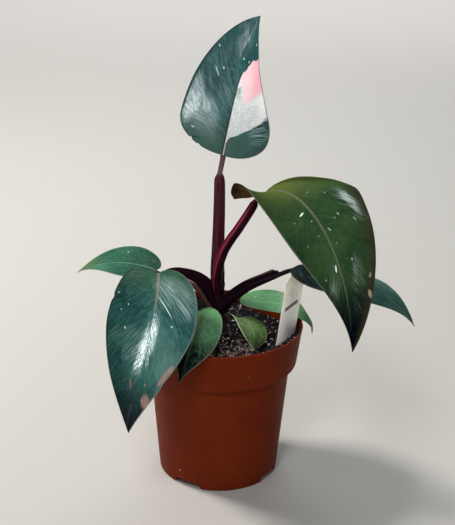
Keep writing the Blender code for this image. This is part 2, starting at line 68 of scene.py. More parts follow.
class Field:
    def __init__(self, node, output=0):
        self.tree = node.id_data
        self.socket = node.outputs[output]

    def __add__(self, other):
        return calc("ADD", self, other)

    def __sub__(self, other):
        return calc("SUBTRACT", self, other)

    def __rsub__(self, other):
        return calc("SUBTRACT", other, self)

    def __mul__(self, other):
        return calc("MULTIPLY", self, other)

    def __truediv__(self, other):
        return calc("DIVIDE", self, other)

    def __pow__(self, other):
        return calc("POWER", self, other)

    def __abs__(self):
        return calc("ABSOLUTE", self)

    # Smooth step between two values, either of which may be a field
    def spread(self, low, high, lowTo=0.0, highTo=1.0):
        ends = {"Value": self, "From Min": low, "From Max": high, "To Min": lowTo, "To Max": highTo}
        return Field(addNode(self.tree, "ShaderNodeMapRange", ends, interpolation_type="SMOOTHSTEP"))

    # Moved up and down by a noise about its middle
    def shifted(self, by, amount):
        return self + (by - 0.5) * amount


# The second colour over the first
def mixed(amount, first, second):
    tree = next(value.tree for value in (amount, first, second) if isinstance(value, Field))
    first, second = (value if isinstance(value, Field) else (*value, 1.0) for value in (first, second))
    values = {"Factor": amount, 6: first, 7: second}
    return Field(addNode(tree, "ShaderNodeMix", values, data_type="RGBA"), 2)


def grain(place, scale, detail=3.0, roughness=0.55):
    values = {"Vector": place, "Scale": scale, "Detail": detail, "Roughness": roughness}
    return Field(addNode(place.tree, "ShaderNodeTexNoise", values))


# Round dots in a share of a noise's cells
def dots(place, scale, far, near, keep):
    cells = addNode(place.tree, "ShaderNodeTexVoronoi", {"Vector": place, "Scale": scale})
    chosen = parted(Field(cells, "Color"))[0]
    return Field(cells, "Distance").spread(far, near) * calc("GREATER_THAN", chosen, 1.0 - keep)


def packed(x, y, z):
    return Field(addNode(x.tree, "ShaderNodeCombineXYZ", {"X": x, "Y": y, "Z": z}))


def parted(place):
    node = addNode(place.tree, "ShaderNodeSeparateXYZ", {0: place})
    return [Field(node, axis) for axis in range(3)]


def objectPlace(tree):
    return Field(addNode(tree, "ShaderNodeTexCoord"), "Object")


# A value that addLayer stored in the mesh
def attribute(tree, name, output="Fac"):
    return Field(addNode(tree, "ShaderNodeAttribute", attribute_name=name), output)


def newSkin(name, roughness, specular):
    skin = bpy.data.materials.new(name)
    skin.use_nodes = True
    shader = skin.node_tree.nodes["Principled BSDF"]
    shader.inputs["Roughness"].default_value = roughness
    shader.inputs["Specular IOR Level"].default_value = specular
    return skin, skin.node_tree, shader


def joinTo(field, shader, key):
    field.tree.links.new(field.socket, shader.inputs[key])


def bumped(shader, height, depth):
    values = {"Height": height, "Distance": depth * mm, "Strength": 1.0}
    relief = Field(addNode(height.tree, "ShaderNodeBump", values))
    joinTo(relief, shader, "Normal")
    return relief


# Pieces

def newObject(name, data):
    thing = bpy.data.objects.new(name, data)
    bpy.context.scene.collection.objects.link(thing)
    return thing


def newMesh(name, points, faces):
    mesh = bpy.data.meshes.new(name)
    mesh.from_pydata((np.asarray(points) * mm).tolist(), [], faces)
    return mesh


# Puts a piece under the body and hides the nodes that it stands for
def settle(piece, replaced=()):
    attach(piece, plainBody)
    if replaced:
        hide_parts(*replaced)


# Makes a settled piece from points in millimetres
def addPiece(name, points, faces, skins, replaced=(), faceSkins=None, smoothAngle=None):
    mesh = newMesh(name, points, faces)
    for skin in skins:
        mesh.materials.append(skin)
    if faceSkins is not None:
        mesh.polygons.foreach_set("material_index", faceSkins)
    mesh.validate()
    mesh.shade_smooth()
    if smoothAngle:
        mesh.set_sharp_from_angle(angle=math.radians(smoothAngle))
    piece = newObject(name, mesh)
    settle(piece, replaced)
    return piece


# Stores a value for each point, which the piece's material reads
def addLayer(piece, name, kind, key, values):
    layer = piece.data.attributes.new(name, kind, "POINT")
    layer.data.foreach_set(key, np.asarray(values).ravel())


# Faces of a tube of rings, closed at both ends
def tubeFaces(rings, sides):
    faces = []
    for low in range(0, (rings - 1) * sides, sides):
        for k in range(sides):
            n = (k + 1) % sides
            faces.append((low + k, low + n, low + sides + n, low + sides + k))
    last = (rings - 1) * sides
    return faces + [tuple(range(sides - 1, -1, -1)), tuple(range(last, last + sides))]


# Leaves: the same bent outlines as the solids, with finer meshes

leafMesh = {
    "rows": 110, "columns": 22, "thickness": 0.55, "edgeThickness": 0.26,
    "ribSpacing": 1.7, "ribStations": 271, "ribBack": 0.35,
    "grooveDepth": 0.22, "grooveWidth": 0.9, "ridgeHeight": 1.1, "ridgeWidth": 1.1,
    "quiltHeight": 0.05, "quiltCount": 11, "veinSlant": 2.0, "veinPower": 2.5,
    "waveHeight": 0.5, "waveScale": 0.035, "marginWaver": 0.25, "ribRoundWidth": 4.0,
    "sinusBack": 1.55, "sinusSide": 0.35, "lobeBack": 0.75, "lobeRound": 0.72, "shoulderRound": 0.42,
    "lobeFoldStart": 0.06, "lobeFoldSpan": 0.16, "waverPitch": 9.0, "fullLength": 100.0,
    "columnSpacing": 1.15, "edgeBulge": 0.45, "normalStep": 0.15,
}

# In each pair the first value is for the left half and the second for the right one
# A nick is half, share of the margin, depth and span; a swell is half, share along, across, radius, height
plainLeaf = {
    "droopBias": 1.0, "twist": 0.0, "swing": 0.0, "tipDraw": 0.1, "tipAngle": 15.0,
    "lobe": (0.1, 0.1), "widest": (0.35, 0.35), "belly": (1.0, 1.0), "curl": (0.0, 0.0),
    "lobeFold": (0.0, 0.0), "nicks": (), "seat": 0.9, "swells": (), "ribRound": 0.0,
}

topLeaf = {
    "base": (-1.0, 17.5, 241.0), "length": 105.0, "halfWidth": (38.5, 38.5),
    "rise": 80.0, "heading": -12.0, "roll": 83.0, "droop": 12.0, "droopBias": 1.5,
    "twist": -1.0, "swing": -21.0, "fold": (0.0, 9.0), "foldAtTip": (0.0, 34.0),
    "curl": (-3.0, 5.0), "lobe": (0.01, 0.01), "widest": (0.21, 0.32), "belly": (1.7, 0.7),
    "tipDraw": 0.0, "tipAngle": 20.0, "nicks": ((0, 0.27, 1.4, 0.008), (0, 0.20, 0.8, 0.010)),
    "seat": 1.9, "swells": ((0, 0.60, 11.0, 24.0, -1.2),),
}
rightLeaf = {
    "base": (30.0, -1.5, 219.0), "length": 172.5, "halfWidth": (42.5, 30.5),
    "rise": 27.0, "heading": -64.0, "roll": 24.0, "droop": 112.0, "droopBias": 1.05,
    "twist": 16.0, "swing": -2.0, "fold": (16.0, 24.0), "foldAtTip": (17.0, -60.0),
    "curl": (-74.0, 56.0), "lobe": (0.02, 0.19), "widest": (0.11, 0.23), "belly": (1.2, 1.05),
    "tipDraw": 0.05, "tipAngle": 32.0, "lobeFold": (0.0, -4.0), "seat": 1.8,
    "swells": ((0, 0.17, 21.0, 16.0, -2.4), (0, 0.37, 33.0, 12.0, 2.4)),
    "nicks": ((1, 0.118, 6.0, 0.028), (1, 0.168, -3.2, 0.014), (1, 0.40, 1.4, 0.04)),
}
leftFrontLeaf = {
    "base": (-45.0, -15.5, 161.0), "length": 124.0, "halfWidth": (30.5, 32.0),
    "rise": -6.0, "heading": -85.0, "roll": 2.0, "droop": 69.0, "droopBias": 0.7,
    "twist": 3.0, "swing": -41.0, "fold": (2.0, 4.0), "foldAtTip": (21.0, 15.0),
    "curl": (-28.0, 36.0), "lobe": (0.09, 0.09), "widest": (0.38, 0.38), "belly": (0.95, 0.95),
    "tipDraw": 0.0, "tipAngle": 17.0, "nicks": ((1, 0.44, 1.0, 0.010), (0, 0.69, 0.7, 0.02)),
    "ribRound": 0.22,
}
leftBackLeaf = {
    "base": (-49.0, 12.5, 153.0), "length": 66.0, "halfWidth": (22.0, 21.5),
    "rise": 15.0, "heading": 165.0, "roll": -4.0, "droop": 49.0,
    "twist": -3.0, "swing": -4.0, "fold": (-1.0, 3.0), "foldAtTip": (9.0, 28.0),
    "lobe": (0.06, 0.06), "widest": (0.28, 0.27), "belly": (0.65, 0.95),
    "tipDraw": 0.2, "tipAngle": 14.0, "seat": 1.4,
}
lowRightLeaf = {
    "base": (57.0, -11.0, 169.0), "length": 97.0, "halfWidth": (33.5, 33.5),
    "rise": -2.0, "heading": -2.0, "roll": -18.0, "droop": 53.0, "droopBias": 1.2,
    "twist": 9.0, "swing": -15.0, "fold": (-21.0, -28.0), "foldAtTip": (20.0, 3.0),
    "curl": (0.0, -11.0), "lobe": (0.07, 0.13), "widest": (0.36, 0.38), "belly": (1.05, 1.05),
    "tipDraw": 0.15, "tipAngle": 15.0, "seat": 1.5,
}
backRightLeaf = {
    "base": (14.5, 18.5, 127.0), "length": 70.0, "halfWidth": (20.0, 14.0),
    "rise": 2.5, "heading": -11.5, "roll": 2.0, "droop": 107.0, "droopBias": 2.78, "twist": 0.5,
    "swing": 24.5, "fold": (8.5, 4.0), "foldAtTip": (-7.0, -16.5), "lobe": (0.02, 0.01),
    "widest": (0.39, 0.36), "belly": (1.5, 2.2), "tipDraw": 0.0, "tipAngle": 13.0,
}
smallLeftLeaf = {
    "base": (-15.0, -14.5, 132.0), "length": 73.5, "halfWidth": (18.0, 19.0),
    "rise": -1.0, "heading": -90.0, "roll": 0.0, "droop": 44.0, "droopBias": 1.2,
    "twist": -3.0, "swing": -23.0, "fold": (6.0, -5.0), "foldAtTip": (-5.0, 0.0),
    "lobe": (0.13, 0.13), "widest": (0.38, 0.38), "belly": (1.3, 1.15),
    "tipDraw": 0.3, "tipAngle": 9.0,
}
smallFrontLeaf = {
    "base": (13.0, 3.0, 119.0), "length": 42.0, "halfWidth": (15.0, 14.0),
    "rise": 16.0, "heading": -49.0, "roll": -18.0, "droop": 52.0,
    "twist": -11.0, "swing": -49.0, "fold": (14.0, 17.0), "foldAtTip": (-30.0, -7.0),
    "lobe": (0.14, 0.14), "widest": (0.39, 0.39), "belly": (1.35, 1.35),
    "tipDraw": 0.0, "tipAngle": 12.0,
}


def bezier(p0, p1, p2, p3, steps):
    t = np.linspace(0.0, 1.0, steps + 1)[:, None]
    return (1 - t) ** 3 * p0 + 3 * (1 - t) ** 2 * t * p1 + 3 * (1 - t) * t * t * p2 + t ** 3 * p3


# Flat margin of one half from the sinus round the basal lobe to the tip: x along the rib, y across
def halfOutline(leaf, half):
    length = leaf["length"]
    width = leaf["halfWidth"][half]
    reach = leaf["lobe"][half] * length
    widest = leaf["widest"][half] * length
    ahead = length - widest
    angle = math.radians(leaf["tipAngle"])
    rows = leafMesh["rows"]
    sinus = np.array((0.0, 0.0))
    side = np.array((widest, width))
    tip = np.array((length, 0.0))
    lobe = bezier(sinus, sinus + (-leafMesh["sinusBack"] * reach, leafMesh["sinusSide"] * width),
                  side + (-(widest + leafMesh["lobeBack"] * reach) * leafMesh["lobeRound"], 0.0),
                  side, rows // 2)
    drawn = tip + np.array((-math.cos(angle), math.sin(angle))) * leaf["tipDraw"] * ahead
    shoulder = bezier(side, side + (leafMesh["shoulderRound"] * ahead * leaf["belly"][half], 0.0),
                      drawn, tip, rows - rows // 2)
    outline = np.concatenate([lobe, shoulder[1:]])
    return wornMargin(leaf, half, outline)


# The real margin wavers slightly and has small nicks
def wornMargin(leaf, half, outline):
    rows = leafMesh["rows"]
    share = np.linspace(0, 1, rows + 1)
    pitch = leafMesh["waverPitch"]
    free = np.sin(np.pi * share) ** 0.5
    waver = np.array([noise.noise(Vector((s * pitch, half * 5.0, leaf["length"]))) for s in share])
    inward = free * waver * leafMesh["marginWaver"]
    for nickHalf, place, depth, span in leaf["nicks"]:
        if nickHalf == half:
            inward = inward + depth * np.exp(-((share - place) / span) ** 2)
    tangent = np.gradient(outline, axis=0)
    tangent /= np.linalg.norm(tangent, axis=1)[:, None] + 1e-9
    across = np.stack([tangent[:, 1], -tangent[:, 0]], -1)
    outline = outline + across * inward[:, None]
    outline[0] = (0.0, 0.0)
    outline[-1] = (leaf["length"], 0.0)
    return outline


# Position, left and up vectors of the rib at a flat distance along it
def ribFrames(leaf, distance):
    length = leaf["length"]
    stations = np.linspace(-leafMesh["ribBack"] * length, length, leafMesh["ribStations"])
    share = np.clip(stations / length, 0.0, 1.0)
    rise = np.radians(leaf["rise"] - leaf["droop"] * share ** leaf["droopBias"])
    heading = np.radians(leaf["heading"] + leaf["swing"] * share)
    flat = np.zeros_like(rise)
    ahead = np.stack([np.cos(rise) * np.cos(heading), np.cos(rise) * np.sin(heading), np.sin(rise)], -1)
    step = stations[1] - stations[0]
    path = np.concatenate([np.zeros((1, 3)), np.cumsum((ahead[1:] + ahead[:-1]) / 2 * step, 0)])
    level = np.stack([-np.sin(heading), np.cos(heading), flat], -1)
    roll = np.radians(leaf["roll"] + leaf["twist"] * share)[:, None]
    left = np.cos(roll) * level + np.sin(roll) * np.cross(ahead, level)
    up = np.cross(ahead, left)
    start = [np.interp(0.0, stations, path[:, k]) for k in range(3)]
    path = path - start + np.array(leaf["base"])
    return [np.stack([np.interp(distance, stations, column) for column in data.T], -1)
            for data in (path, left, up)]


# Half 0 is the left one and half 1 the right one
def sideSign(half):
    return 1.0 if half == 0 else -1.0


# Bends flat points of one half over the rib
def bendHalf(leaf, flat, half):
    path, left, up = ribFrames(leaf, flat[:, 0])
    along = flat[:, 0] / leaf["length"]
    share = np.clip(along, 0.0, 1.0)
    behind = np.clip((leafMesh["lobeFoldStart"] - along) / leafMesh["lobeFoldSpan"], 0, 1)
    fold = leaf["fold"][half] * (1 - share) + leaf["foldAtTip"][half] * share
    fold = np.radians(fold + leaf["lobeFold"][half] * behind ** 2 * (3 - 2 * behind))
    curl = math.radians(leaf["curl"][half] or 0.01) / leaf["halfWidth"][half]
    across = (np.sin(fold + curl * flat[:, 1]) - np.sin(fold)) / curl
    lift = -(np.cos(fold + curl * flat[:, 1]) - np.cos(fold)) / curl
    return path + sideSign(half) * left * across[:, None] + up * lift[:, None]


# Upward normals of bent points, from small steps along and across the blade
def bentNormals(leaf, flat, half):
    step = leafMesh["normalStep"]
    along = bendHalf(leaf, flat + [step, 0], half) - bendHalf(leaf, flat - [step, 0], half)
    across = bendHalf(leaf, flat + [0, step], half) - bendHalf(leaf, flat, half)
    normal = np.cross(along, across) * sideSign(half)
    return normal / np.linalg.norm(normal, axis=1)[:, None]


# Heights of the upper and lower faces above the middle of the blade
def bladeMould(leaf, flat, vein, share, half):
    length, off = leaf["length"], flat[:, 1]
    size = min(1.0, length / leafMesh["fullLength"])
    edge = leafMesh["edgeThickness"]
    taper = np.clip(1 - flat[:, 0] / length, 0.0, 1.0)
    slim = edge + (leafMesh["thickness"] - edge) * (1 - share ** 4)
    groove = leafMesh["grooveDepth"] * taper ** 0.5 * np.exp(-(off / leafMesh["grooveWidth"]) ** 2)
    ridge = leafMesh["ridgeHeight"] * taper * np.exp(-(off / leafMesh["ridgeWidth"]) ** 2)
    bowed = vein - leafMesh["veinSlant"] * share * (1 - vein) ** leafMesh["veinPower"]
    quilt = leafMesh["quiltHeight"] * np.cos(bowed * leafMesh["quiltCount"] * math.tau)
    quilt = quilt * (share * (1 - share) * 4) ** 0.7 * size
    places = flat * leafMesh["waveScale"]
    soft = np.array([noise.noise(Vector((x, y, half * 4.0 + length))) for x, y in places])
    wave = leafMesh["waveHeight"] * soft * share * size
    wide = leafMesh["ribRoundWidth"]
    wave = wave + leaf["ribRound"] * taper ** 0.5 * (np.sqrt(off ** 2 + wide ** 2) - off)
    for swellHalf, along, across, radius, height in leaf["swells"]:
        if swellHalf == half:
            apart = np.hypot(flat[:, 0] - along * length, off - across) / radius
            wave = wave + height * np.exp(-apart ** 2) * np.minimum(1.0, share * 4.0)
    return wave + quilt + slim / 2 - groove, wave + quilt - slim / 2 - ridge


# The blade's margin, bent over the rib and bulged out a little beyond the faces
def bentEdge(leaf, outline, vein, half):
    outward = np.gradient(outline, axis=0)
    outward = np.stack([-outward[:, 1], outward[:, 0]], -1)
    outward /= np.linalg.norm(outward, axis=1)[:, None] + 1e-9
    flat = outline.copy()
    flat[1:-1] += outward[1:-1] * leafMesh["edgeThickness"] * leafMesh["edgeBulge"]
    high, low = bladeMould(leaf, outline, vein, np.ones(len(outline)), half)
    return bendHalf(leaf, flat, half) + bentNormals(leaf, flat, half) * ((high + low) / 2)[:, None]


# Faces between two columns of points, without the corners that coincide at base and tip
def stripFaces(near, far, flipped):
    faces = []
    for i in range(len(near) - 1):
        corners = [near[i], far[i], far[i + 1], near[i + 1]]
        corners = [int(c) for k, c in enumerate(corners) if c != corners[k - 1]]
        if len(set(corners)) >= 3:
            faces.append(corners[::-1] if flipped else corners)
    return faces


def makeLeaf(name, own, skins):
    leaf = {**plainLeaf, **own}
    rows, columns = leafMesh["rows"], leafMesh["columns"]
    rowShare = np.linspace(0, 1, rows + 1)
    ribFlat = np.stack([leaf["length"] * rowShare ** leafMesh["ribSpacing"], np.zeros(rows + 1)], -1)
    points, places, veins, halves = [], [], [], []

    def addPoints(where, flat, vein, share, half):
        start = sum(len(block) for block in points)
        points.append(where)
        places.append(np.stack([flat[:, 0] / leaf["length"], flat[:, 1] * sideSign(half), share], -1))
        veins.append(vein)
        halves.append(np.full(len(where), float(half)))
        return start + np.arange(len(where))

    def bothFaces(flat, vein, share, half):
        middle, normal = bendHalf(leaf, flat, half), bentNormals(leaf, flat, half)
        heights = bladeMould(leaf, flat, vein, share, half)
        return [addPoints(middle + normal * height[:, None], flat, vein, share, half) for height in heights]

    ribs = bothFaces(ribFlat, rowShare, np.zeros(rows + 1), 0)
    faces, faceSkins = [], []
    inner = slice(1, rows)
    for half in (0, 1):
        outline = halfOutline(leaf, half)
        grids = [np.zeros((rows + 1, columns + 1), int) for _ in ribs]
        for grid, rib in zip(grids, ribs):
            grid[:, 0] = rib
            grid[0, :] = rib[0]
            grid[rows, :] = rib[rows]
        for j in range(1, columns + 1):
            share = (j / columns) ** leafMesh["columnSpacing"]
            flat = ribFlat[inner] * (1 - share) + outline[inner] * share
            added = bothFaces(flat, rowShare[inner], np.full(rows - 1, share), half)
            for grid, column in zip(grids, added):
                grid[inner, j] = column
        edge = bentEdge(leaf, outline, rowShare, half)
        rim = addPoints(edge, outline, rowShare, np.ones(rows + 1), half)
        for side, grid in enumerate(grids):
            strips = [*grid.T, rim]
            for near, far in zip(strips, strips[1:]):
                strip = stripFaces(near, far, half == side)
                faces += strip
                faceSkins += [side] * len(strip)
    piece = addPiece(name, np.concatenate(points), faces, skins, faceSkins=faceSkins)
    addLayer(piece, "leafPlace", "FLOAT_VECTOR", "vector", np.concatenate(places))
    addLayer(piece, "leafVein", "FLOAT", "value", np.concatenate(veins))
    addLayer(piece, "leafHalf", "FLOAT", "value", np.concatenate(halves))


# Where a point lies on its leaf: along the rib, across it in millimetres, and how near the margin
def leafReadings(tree):
    along, across, share = parted(attribute(tree, "leafPlace", "Vector"))
    vein, half = attribute(tree, "leafVein"), attribute(tree, "leafHalf")
    slant = share * leafMesh["veinSlant"] * (1.0 - vein) ** leafMesh["veinPower"]
    return {"along": along, "across": across, "share": share, "vein": vein, "half": half,
            "bowed": vein - slant, "off": abs(across)}


# Fine relief that runs with the side veins, apart on the two halves
def veinStreaks(at, count, reach, detail):
    return grain(packed(at["bowed"] * count, at["share"] * reach, at["half"] * 9.0), 1.0, detail)


# Distances along and across a line that is turned by an angle
def turnedPlace(dx, dy, angle):
    c, s = math.cos(angle), math.sin(angle)
    return dx * c + dy * s, dy * c - dx * s


# Listed marks: half, share along, mm across, mm long, mm wide, turn, and a strength below 1
def markMask(at, length, marks, edge, ragged=None):
    total = 0.0
    for half, along, across, longways, crossways, turn, *strength in marks:
        dx = (at["along"] - along) * length
        dy = at["across"] - (across if half == 0 else -across)
        u, v = turnedPlace(dx, dy, math.radians(turn))
        spot = abs(u / longways) ** 2.0 + abs(v / crossways) ** 2.0
        if ragged:
            spot = spot.shifted(ragged, leafFinish["raggedness"])
        spot = spot.spread(*edge)
        if strength:
            spot = spot * strength[0]
        total = calc("MAXIMUM", total, spot)
    return total


# Scattered dots in cells of one size
def speckMask(at, length, cell, size, keep):
    place = packed(at["along"] * (length / cell), at["across"] / cell, at["half"])
    return dots(place, 1.0, size * 1.5, size * 0.6, keep)


leafFinish = {
    "streakPitch": 2.6, "streakReach": 5.0, "streakBand": (0.46, 0.74),
    "linePitch": 8.0, "lineReach": 1.6, "lineWidth": 0.028, "lineFade": (1.0, 0.6), "lineRelief": 0.25,
    "hairPitch": 1.6, "hairReach": 2.2, "hairBand": (0.49, 0.61),
    "poreScale": 900.0, "poreBand": (0.3, 0.7), "poreRough": (-0.05, 0.10), "poreRelief": 0.35,
    "patchScale": 42.0, "patchBand": (0.38, 0.64),
    "blotchScale": 240.0, "blotchBand": (0.50, 0.75), "blotchTint": 0.3,
    "footFrom": 0.02, "footWaver": 0.2, "tipWaver": 0.1, "tintAtTip": 0.1, "sideTo": 1.05,
    "ribTipWidth": 0.35, "ribEdge": (1.0, 0.55), "ribFade": 0.25, "margin": (0.955, 0.985),
    "fleckEdge": (1.3, 0.5), "zoneEdge": (2.4, 0.1), "stainEdge": (1.6, 0.1), "raggedness": 4.0,
    "stainStrength": 0.85, "glossBand": (0.82, 1.12, 0.30, 1.0), "reliefDepth": 0.16,
    "specks": ((5.5, 0.075, 1.0), (2.6, 0.09, 0.4)),  # cell mm, size, share kept
}
backFinish = {
    "roughness": 0.6, "specular": 0.01, "streaks": 45.0, "patchScale": 60.0, "patchBand": (0.2, 0.5),
    # centre sets where painted light shining through the blade fills the underside
    "centre": (0.99, 0.80), "streakBand": (0.5, 0.75), "streakTint": 0.5, "rib": (0.17, 0.075, 0.060),
    "ribWidth": (1.3, 0.7), "ribTint": 0.6, "sectorShare": 0.7,
}

# Looks: linear colours, and flecks, stains, gloss zones and painted sheen zones as listed marks
plainLook = {
    "ribWidth": 1.0, "ribTo": 1.0, "ribStrength": 0.8, "specks": 0.0, "flecks": (),
    "fleckColour": (0.66, 0.76, 0.72), "stains": (), "stainColour": (0.30, 0.17, 0.14), "sector": None,
    "margins": ((0.020, 0.030, 0.026), (0.020, 0.030, 0.026)), "marginStrength": 0.7,
    # The underside's centre colour is painted light shining through the blade
    "under": (0.040, 0.034, 0.020), "underGlow": (0.095, 0.062, 0.034),
    "streakTint": 0.28, "lineTint": 0.22, "tipFrom": 0.55, "sideFrom": 2.0, "side": (0.05, 0.04, 0.03),
    "roughness": 0.32, "specular": 0.08, "coatRoughness": 0.16, "footTo": 0.30, "tipTo": 0.93,
    # The streak zones and their colour are painted sheen
    "gloss": (), "paintedSheenZones": (), "paintedSheenColour": (0.30, 0.42, 0.42),
}

tealLook = {
    "specular": 0.03,
    "gloss": ((0, 0.46, 0.5, 27.0, 4.0, 0), (1, 0.59, 3.0, 12.0, 4.5, 0),
              (1, 0.50, 10.0, 13.0, 5.0, 8, 0.45), (0, 0.19, 15.0, 18.0, 9.0, 40, 0.6)),
    # The streak zones paint pale streaks where highlights fall: painted sheen
    "paintedSheenZones": ((1, 0.51, 10.0, 13.0, 6.0, 8, 0.5), (1, 0.50, 24.0, 8.0, 5.0, 0, 0.4),
                 (0, 0.19, 15.0, 19.0, 10.0, 40, 0.75)),
    "young": (0.031, 0.122, 0.102), "old": (0.012, 0.064, 0.060), "pale": (0.095, 0.26, 0.23),
    "streakTint": 0.42, "lineTint": 0.40,
    "foot": (0.018, 0.064, 0.030), "tip": (0.001, 0.002, 0.006), "rib": (0.22, 0.19, 0.17),
    "ribWidth": 1.2, "ribTo": 0.42, "tipFrom": 0.60,
    "margins": ((0.24, 0.32, 0.28), (0.010, 0.024, 0.024)),
    "flecks": ((1, 0.285, 19.1, 0.7, 0.5, 34), (1, 0.231, 27.4, 0.9, 0.5, 91),
               (1, 0.43, 18.1, 1.0, 0.6, 19), (0, 0.389, 14.4, 0.7, 0.5, 27),
               (1, 0.33, 23.3, 0.7, 0.4, 34), (0, 0.269, 7.1, 11.4, 0.28, 35)),
    "stains": ((1, 0.736, 5.5, 3.5, 0.8, 16), (0, 0.805, 10.1, 4.2, 3.4, 9),
               (0, 0.655, 19.4, 7.5, 1.8, 155), (0, 0.721, 6.2, 1.0, 0.7, 32)),
}
variegatedLook = {
    "specular": 0.05, "coatRoughness": 0.20,
    "gloss": ((0, 0.31, 35.0, 14.0, 9.0, 0), (0, 0.23, 19.0, 13.0, 8.0, 30, 0.40),
              (0, 0.85, 4.0, 15.0, 5.0, 0, 0.75)),
    # The streak zones paint pale streaks where highlights fall: painted sheen
    "paintedSheenZones": ((0, 0.22, 18.0, 15.0, 9.0, 30, 0.6), (1, 0.25, 29.0, 10.0, 6.5, -50),
                 (0, 0.45, 8.0, 16.0, 6.0, 0, 0.25), (0, 0.86, 4.5, 14.0, 7.0, 0, 0.35),
                 (0, 0.62, 20.0, 14.0, 6.0, 0, 0.12)),
    "streakTint": 0.48, "lineTint": 0.45,
    "young": (0.024, 0.104, 0.102), "old": (0.008, 0.047, 0.051), "pale": (0.098, 0.25, 0.24),
    "foot": (0.052, 0.122, 0.092), "tip": (0.016, 0.075, 0.078), "rib": (0.030, 0.022, 0.026),
    "ribWidth": 1.1, "ribTo": 0.75, "margins": ((0.008, 0.018, 0.018), (0.10, 0.12, 0.12)),
    "sector": {
        "pink": (0.93, 0.47, 0.56), "blush": (0.95, 0.68, 0.74), "white": (0.62, 0.68, 0.70),
        "bright": (0.95, 0.97, 1.00), "grey": (0.30, 0.40, 0.39), "seam": (0.80, 0.66, 0.70),
        "seamWidth": (1.4, 0.9), "seamEnd": (0.42, 0.32), "blotchScale": 190.0, "mottleScale": 620.0,
        "upperWaver": 0.035, "upperEdge": (-0.003, 0.004), "lowerWaver": 0.03, "lowerFrom": -0.004,
        "lowerTo": (0.6, 1.0, 0.005, 0.03), "mottleShare": 0.4, "brightBand": (0.40, 0.62),
        "outward": (0.60, 0.92), "outwardStrength": 0.8, "marbleBand": (0.46, 0.70),
        "marbleHeight": (0.66, 0.58), "marbleOut": (0.95, 0.5), "marbleStrength": 0.5,
        "patchFoot": (0.57, 0.60), "patchTop": (0.665, 0.645), "patchOut": (0.20, 0.12),
        "patchBand": (0.40, 0.52), "patchStrength": 0.8, "blushWaver": 0.09, "blushRagged": 0.05,
        "blushEdge": (-0.010, 0.030), "pinkWaver": 0.3, "pinkOut": (0.35, 0.85),
        "upper": ((0.0, 0.66), (0.07, 0.713), (0.267, 0.742), (0.525, 0.767), (0.883, 0.771), (1.0, 0.775)),
        "lower": ((0.0, 0.20), (0.04, 0.231), (0.10, 0.300), (0.225, 0.344), (0.50, 0.444),
                  (0.82, 0.525), (1.0, 0.555)),
        "blushFrom": ((0.0, 0.74), (0.07, 0.70), (0.20, 0.65), (0.26, 0.588), (0.46, 0.596),
                      (0.63, 0.617), (1.0, 0.655)),
    },
    "flecks": ((0, 0.531, 19.3, 4.0, 0.5, -140), (0, 0.567, 15.1, 0.9, 0.8, -155),
               (0, 0.688, 23.6, 1.0, 0.6, -125), (0, 0.686, 1.4, 0.8, 0.7, -144),
               (1, 0.693, 5.7, 0.9, 0.8, -135), (1, 0.835, 9.2, 1.0, 0.5, -110),
               (0, 0.129, 26.5, 1.6, 0.6, -99)),
    "fleckColour": (0.46, 0.68, 0.66),
}
oliveLook = {
    "specular": 0.0,
    "gloss": ((1, 0.73, 6.5, 15.0, 3.2, -18, 0.12), (0, 0.745, 10.0, 15.0, 2.8, -12, 0.08),
              (0, 0.45, 26.5, 12.0, 2.8, 12)),
    # The streak zones paint pale streaks where highlights fall: painted sheen
    "paintedSheenZones": ((0, 0.745, 10.0, 15.0, 3.5, -12, 0.22), (1, 0.73, 6.5, 15.0, 4.0, -18, 0.20),
                 (0, 0.44, 25.0, 13.0, 5.0, 12, 0.60)),
    "paintedSheenColour": (0.22, 0.28, 0.25),
    "young": (0.028, 0.064, 0.022), "old": (0.014, 0.040, 0.016), "pale": (0.070, 0.105, 0.058),
    "foot": (0.085, 0.112, 0.026), "footTo": 0.44, "tip": (0.001, 0.002, 0.007),
    "rib": (0.105, 0.125, 0.072),
    "ribWidth": 1.25, "ribTo": 0.95, "ribStrength": 0.9, "tipFrom": 0.66, "sideFrom": 0.66,
    "side": (0.040, 0.034, 0.020), "margins": ((0.050, 0.045, 0.036), (0.16, 0.18, 0.16)),
    "flecks": ((1, 0.384, 6.2, 2.0, 0.8, 118), (1, 0.675, 2.7, 2.6, 0.7, -12),
               (0, 0.52, 3.8, 1.8, 0.35, 18, 0.5),
               (0, 0.478, 13.6, 1.3, 0.4, 12, 0.5), (0, 0.488, 10.5, 0.7, 0.4, 7, 0.35),
               (0, 0.522, 21.7, 1.6, 0.4, 14, 0.4), (1, 0.441, 3.5, 0.8, 0.35, -30, 0.5),
               (0, 0.355, 15.5, 0.7, 0.4, 11, 0.4), (0, 0.298, 7.5, 0.6, 0.4, 24, 0.4),
               (0, 0.585, 4.1, 0.5, 0.4, 63, 0.4), (1, 0.537, 14.1, 0.5, 0.5, -63, 0.4),
               (1, 0.702, 12.1, 0.7, 0.5, 12, 0.4), (1, 0.411, 13.8, 0.7, 0.4, 4, 0.4),
               (1, 0.519, 4.6, 0.6, 0.4, 3, 0.4)),
    "stains": ((0, 0.665, 9.7, 0.8, 0.5, -10), (0, 0.735, 17.8, 1.8, 0.8, -22),
               (0, 0.796, 15.1, 2.8, 1.1, 7)),
    # The underside's centre colour is painted light shining through the blade
    "stainColour": (0.52, 0.40, 0.28), "under": (0.030, 0.020, 0.014), "underGlow": (0.105, 0.052, 0.015),
}
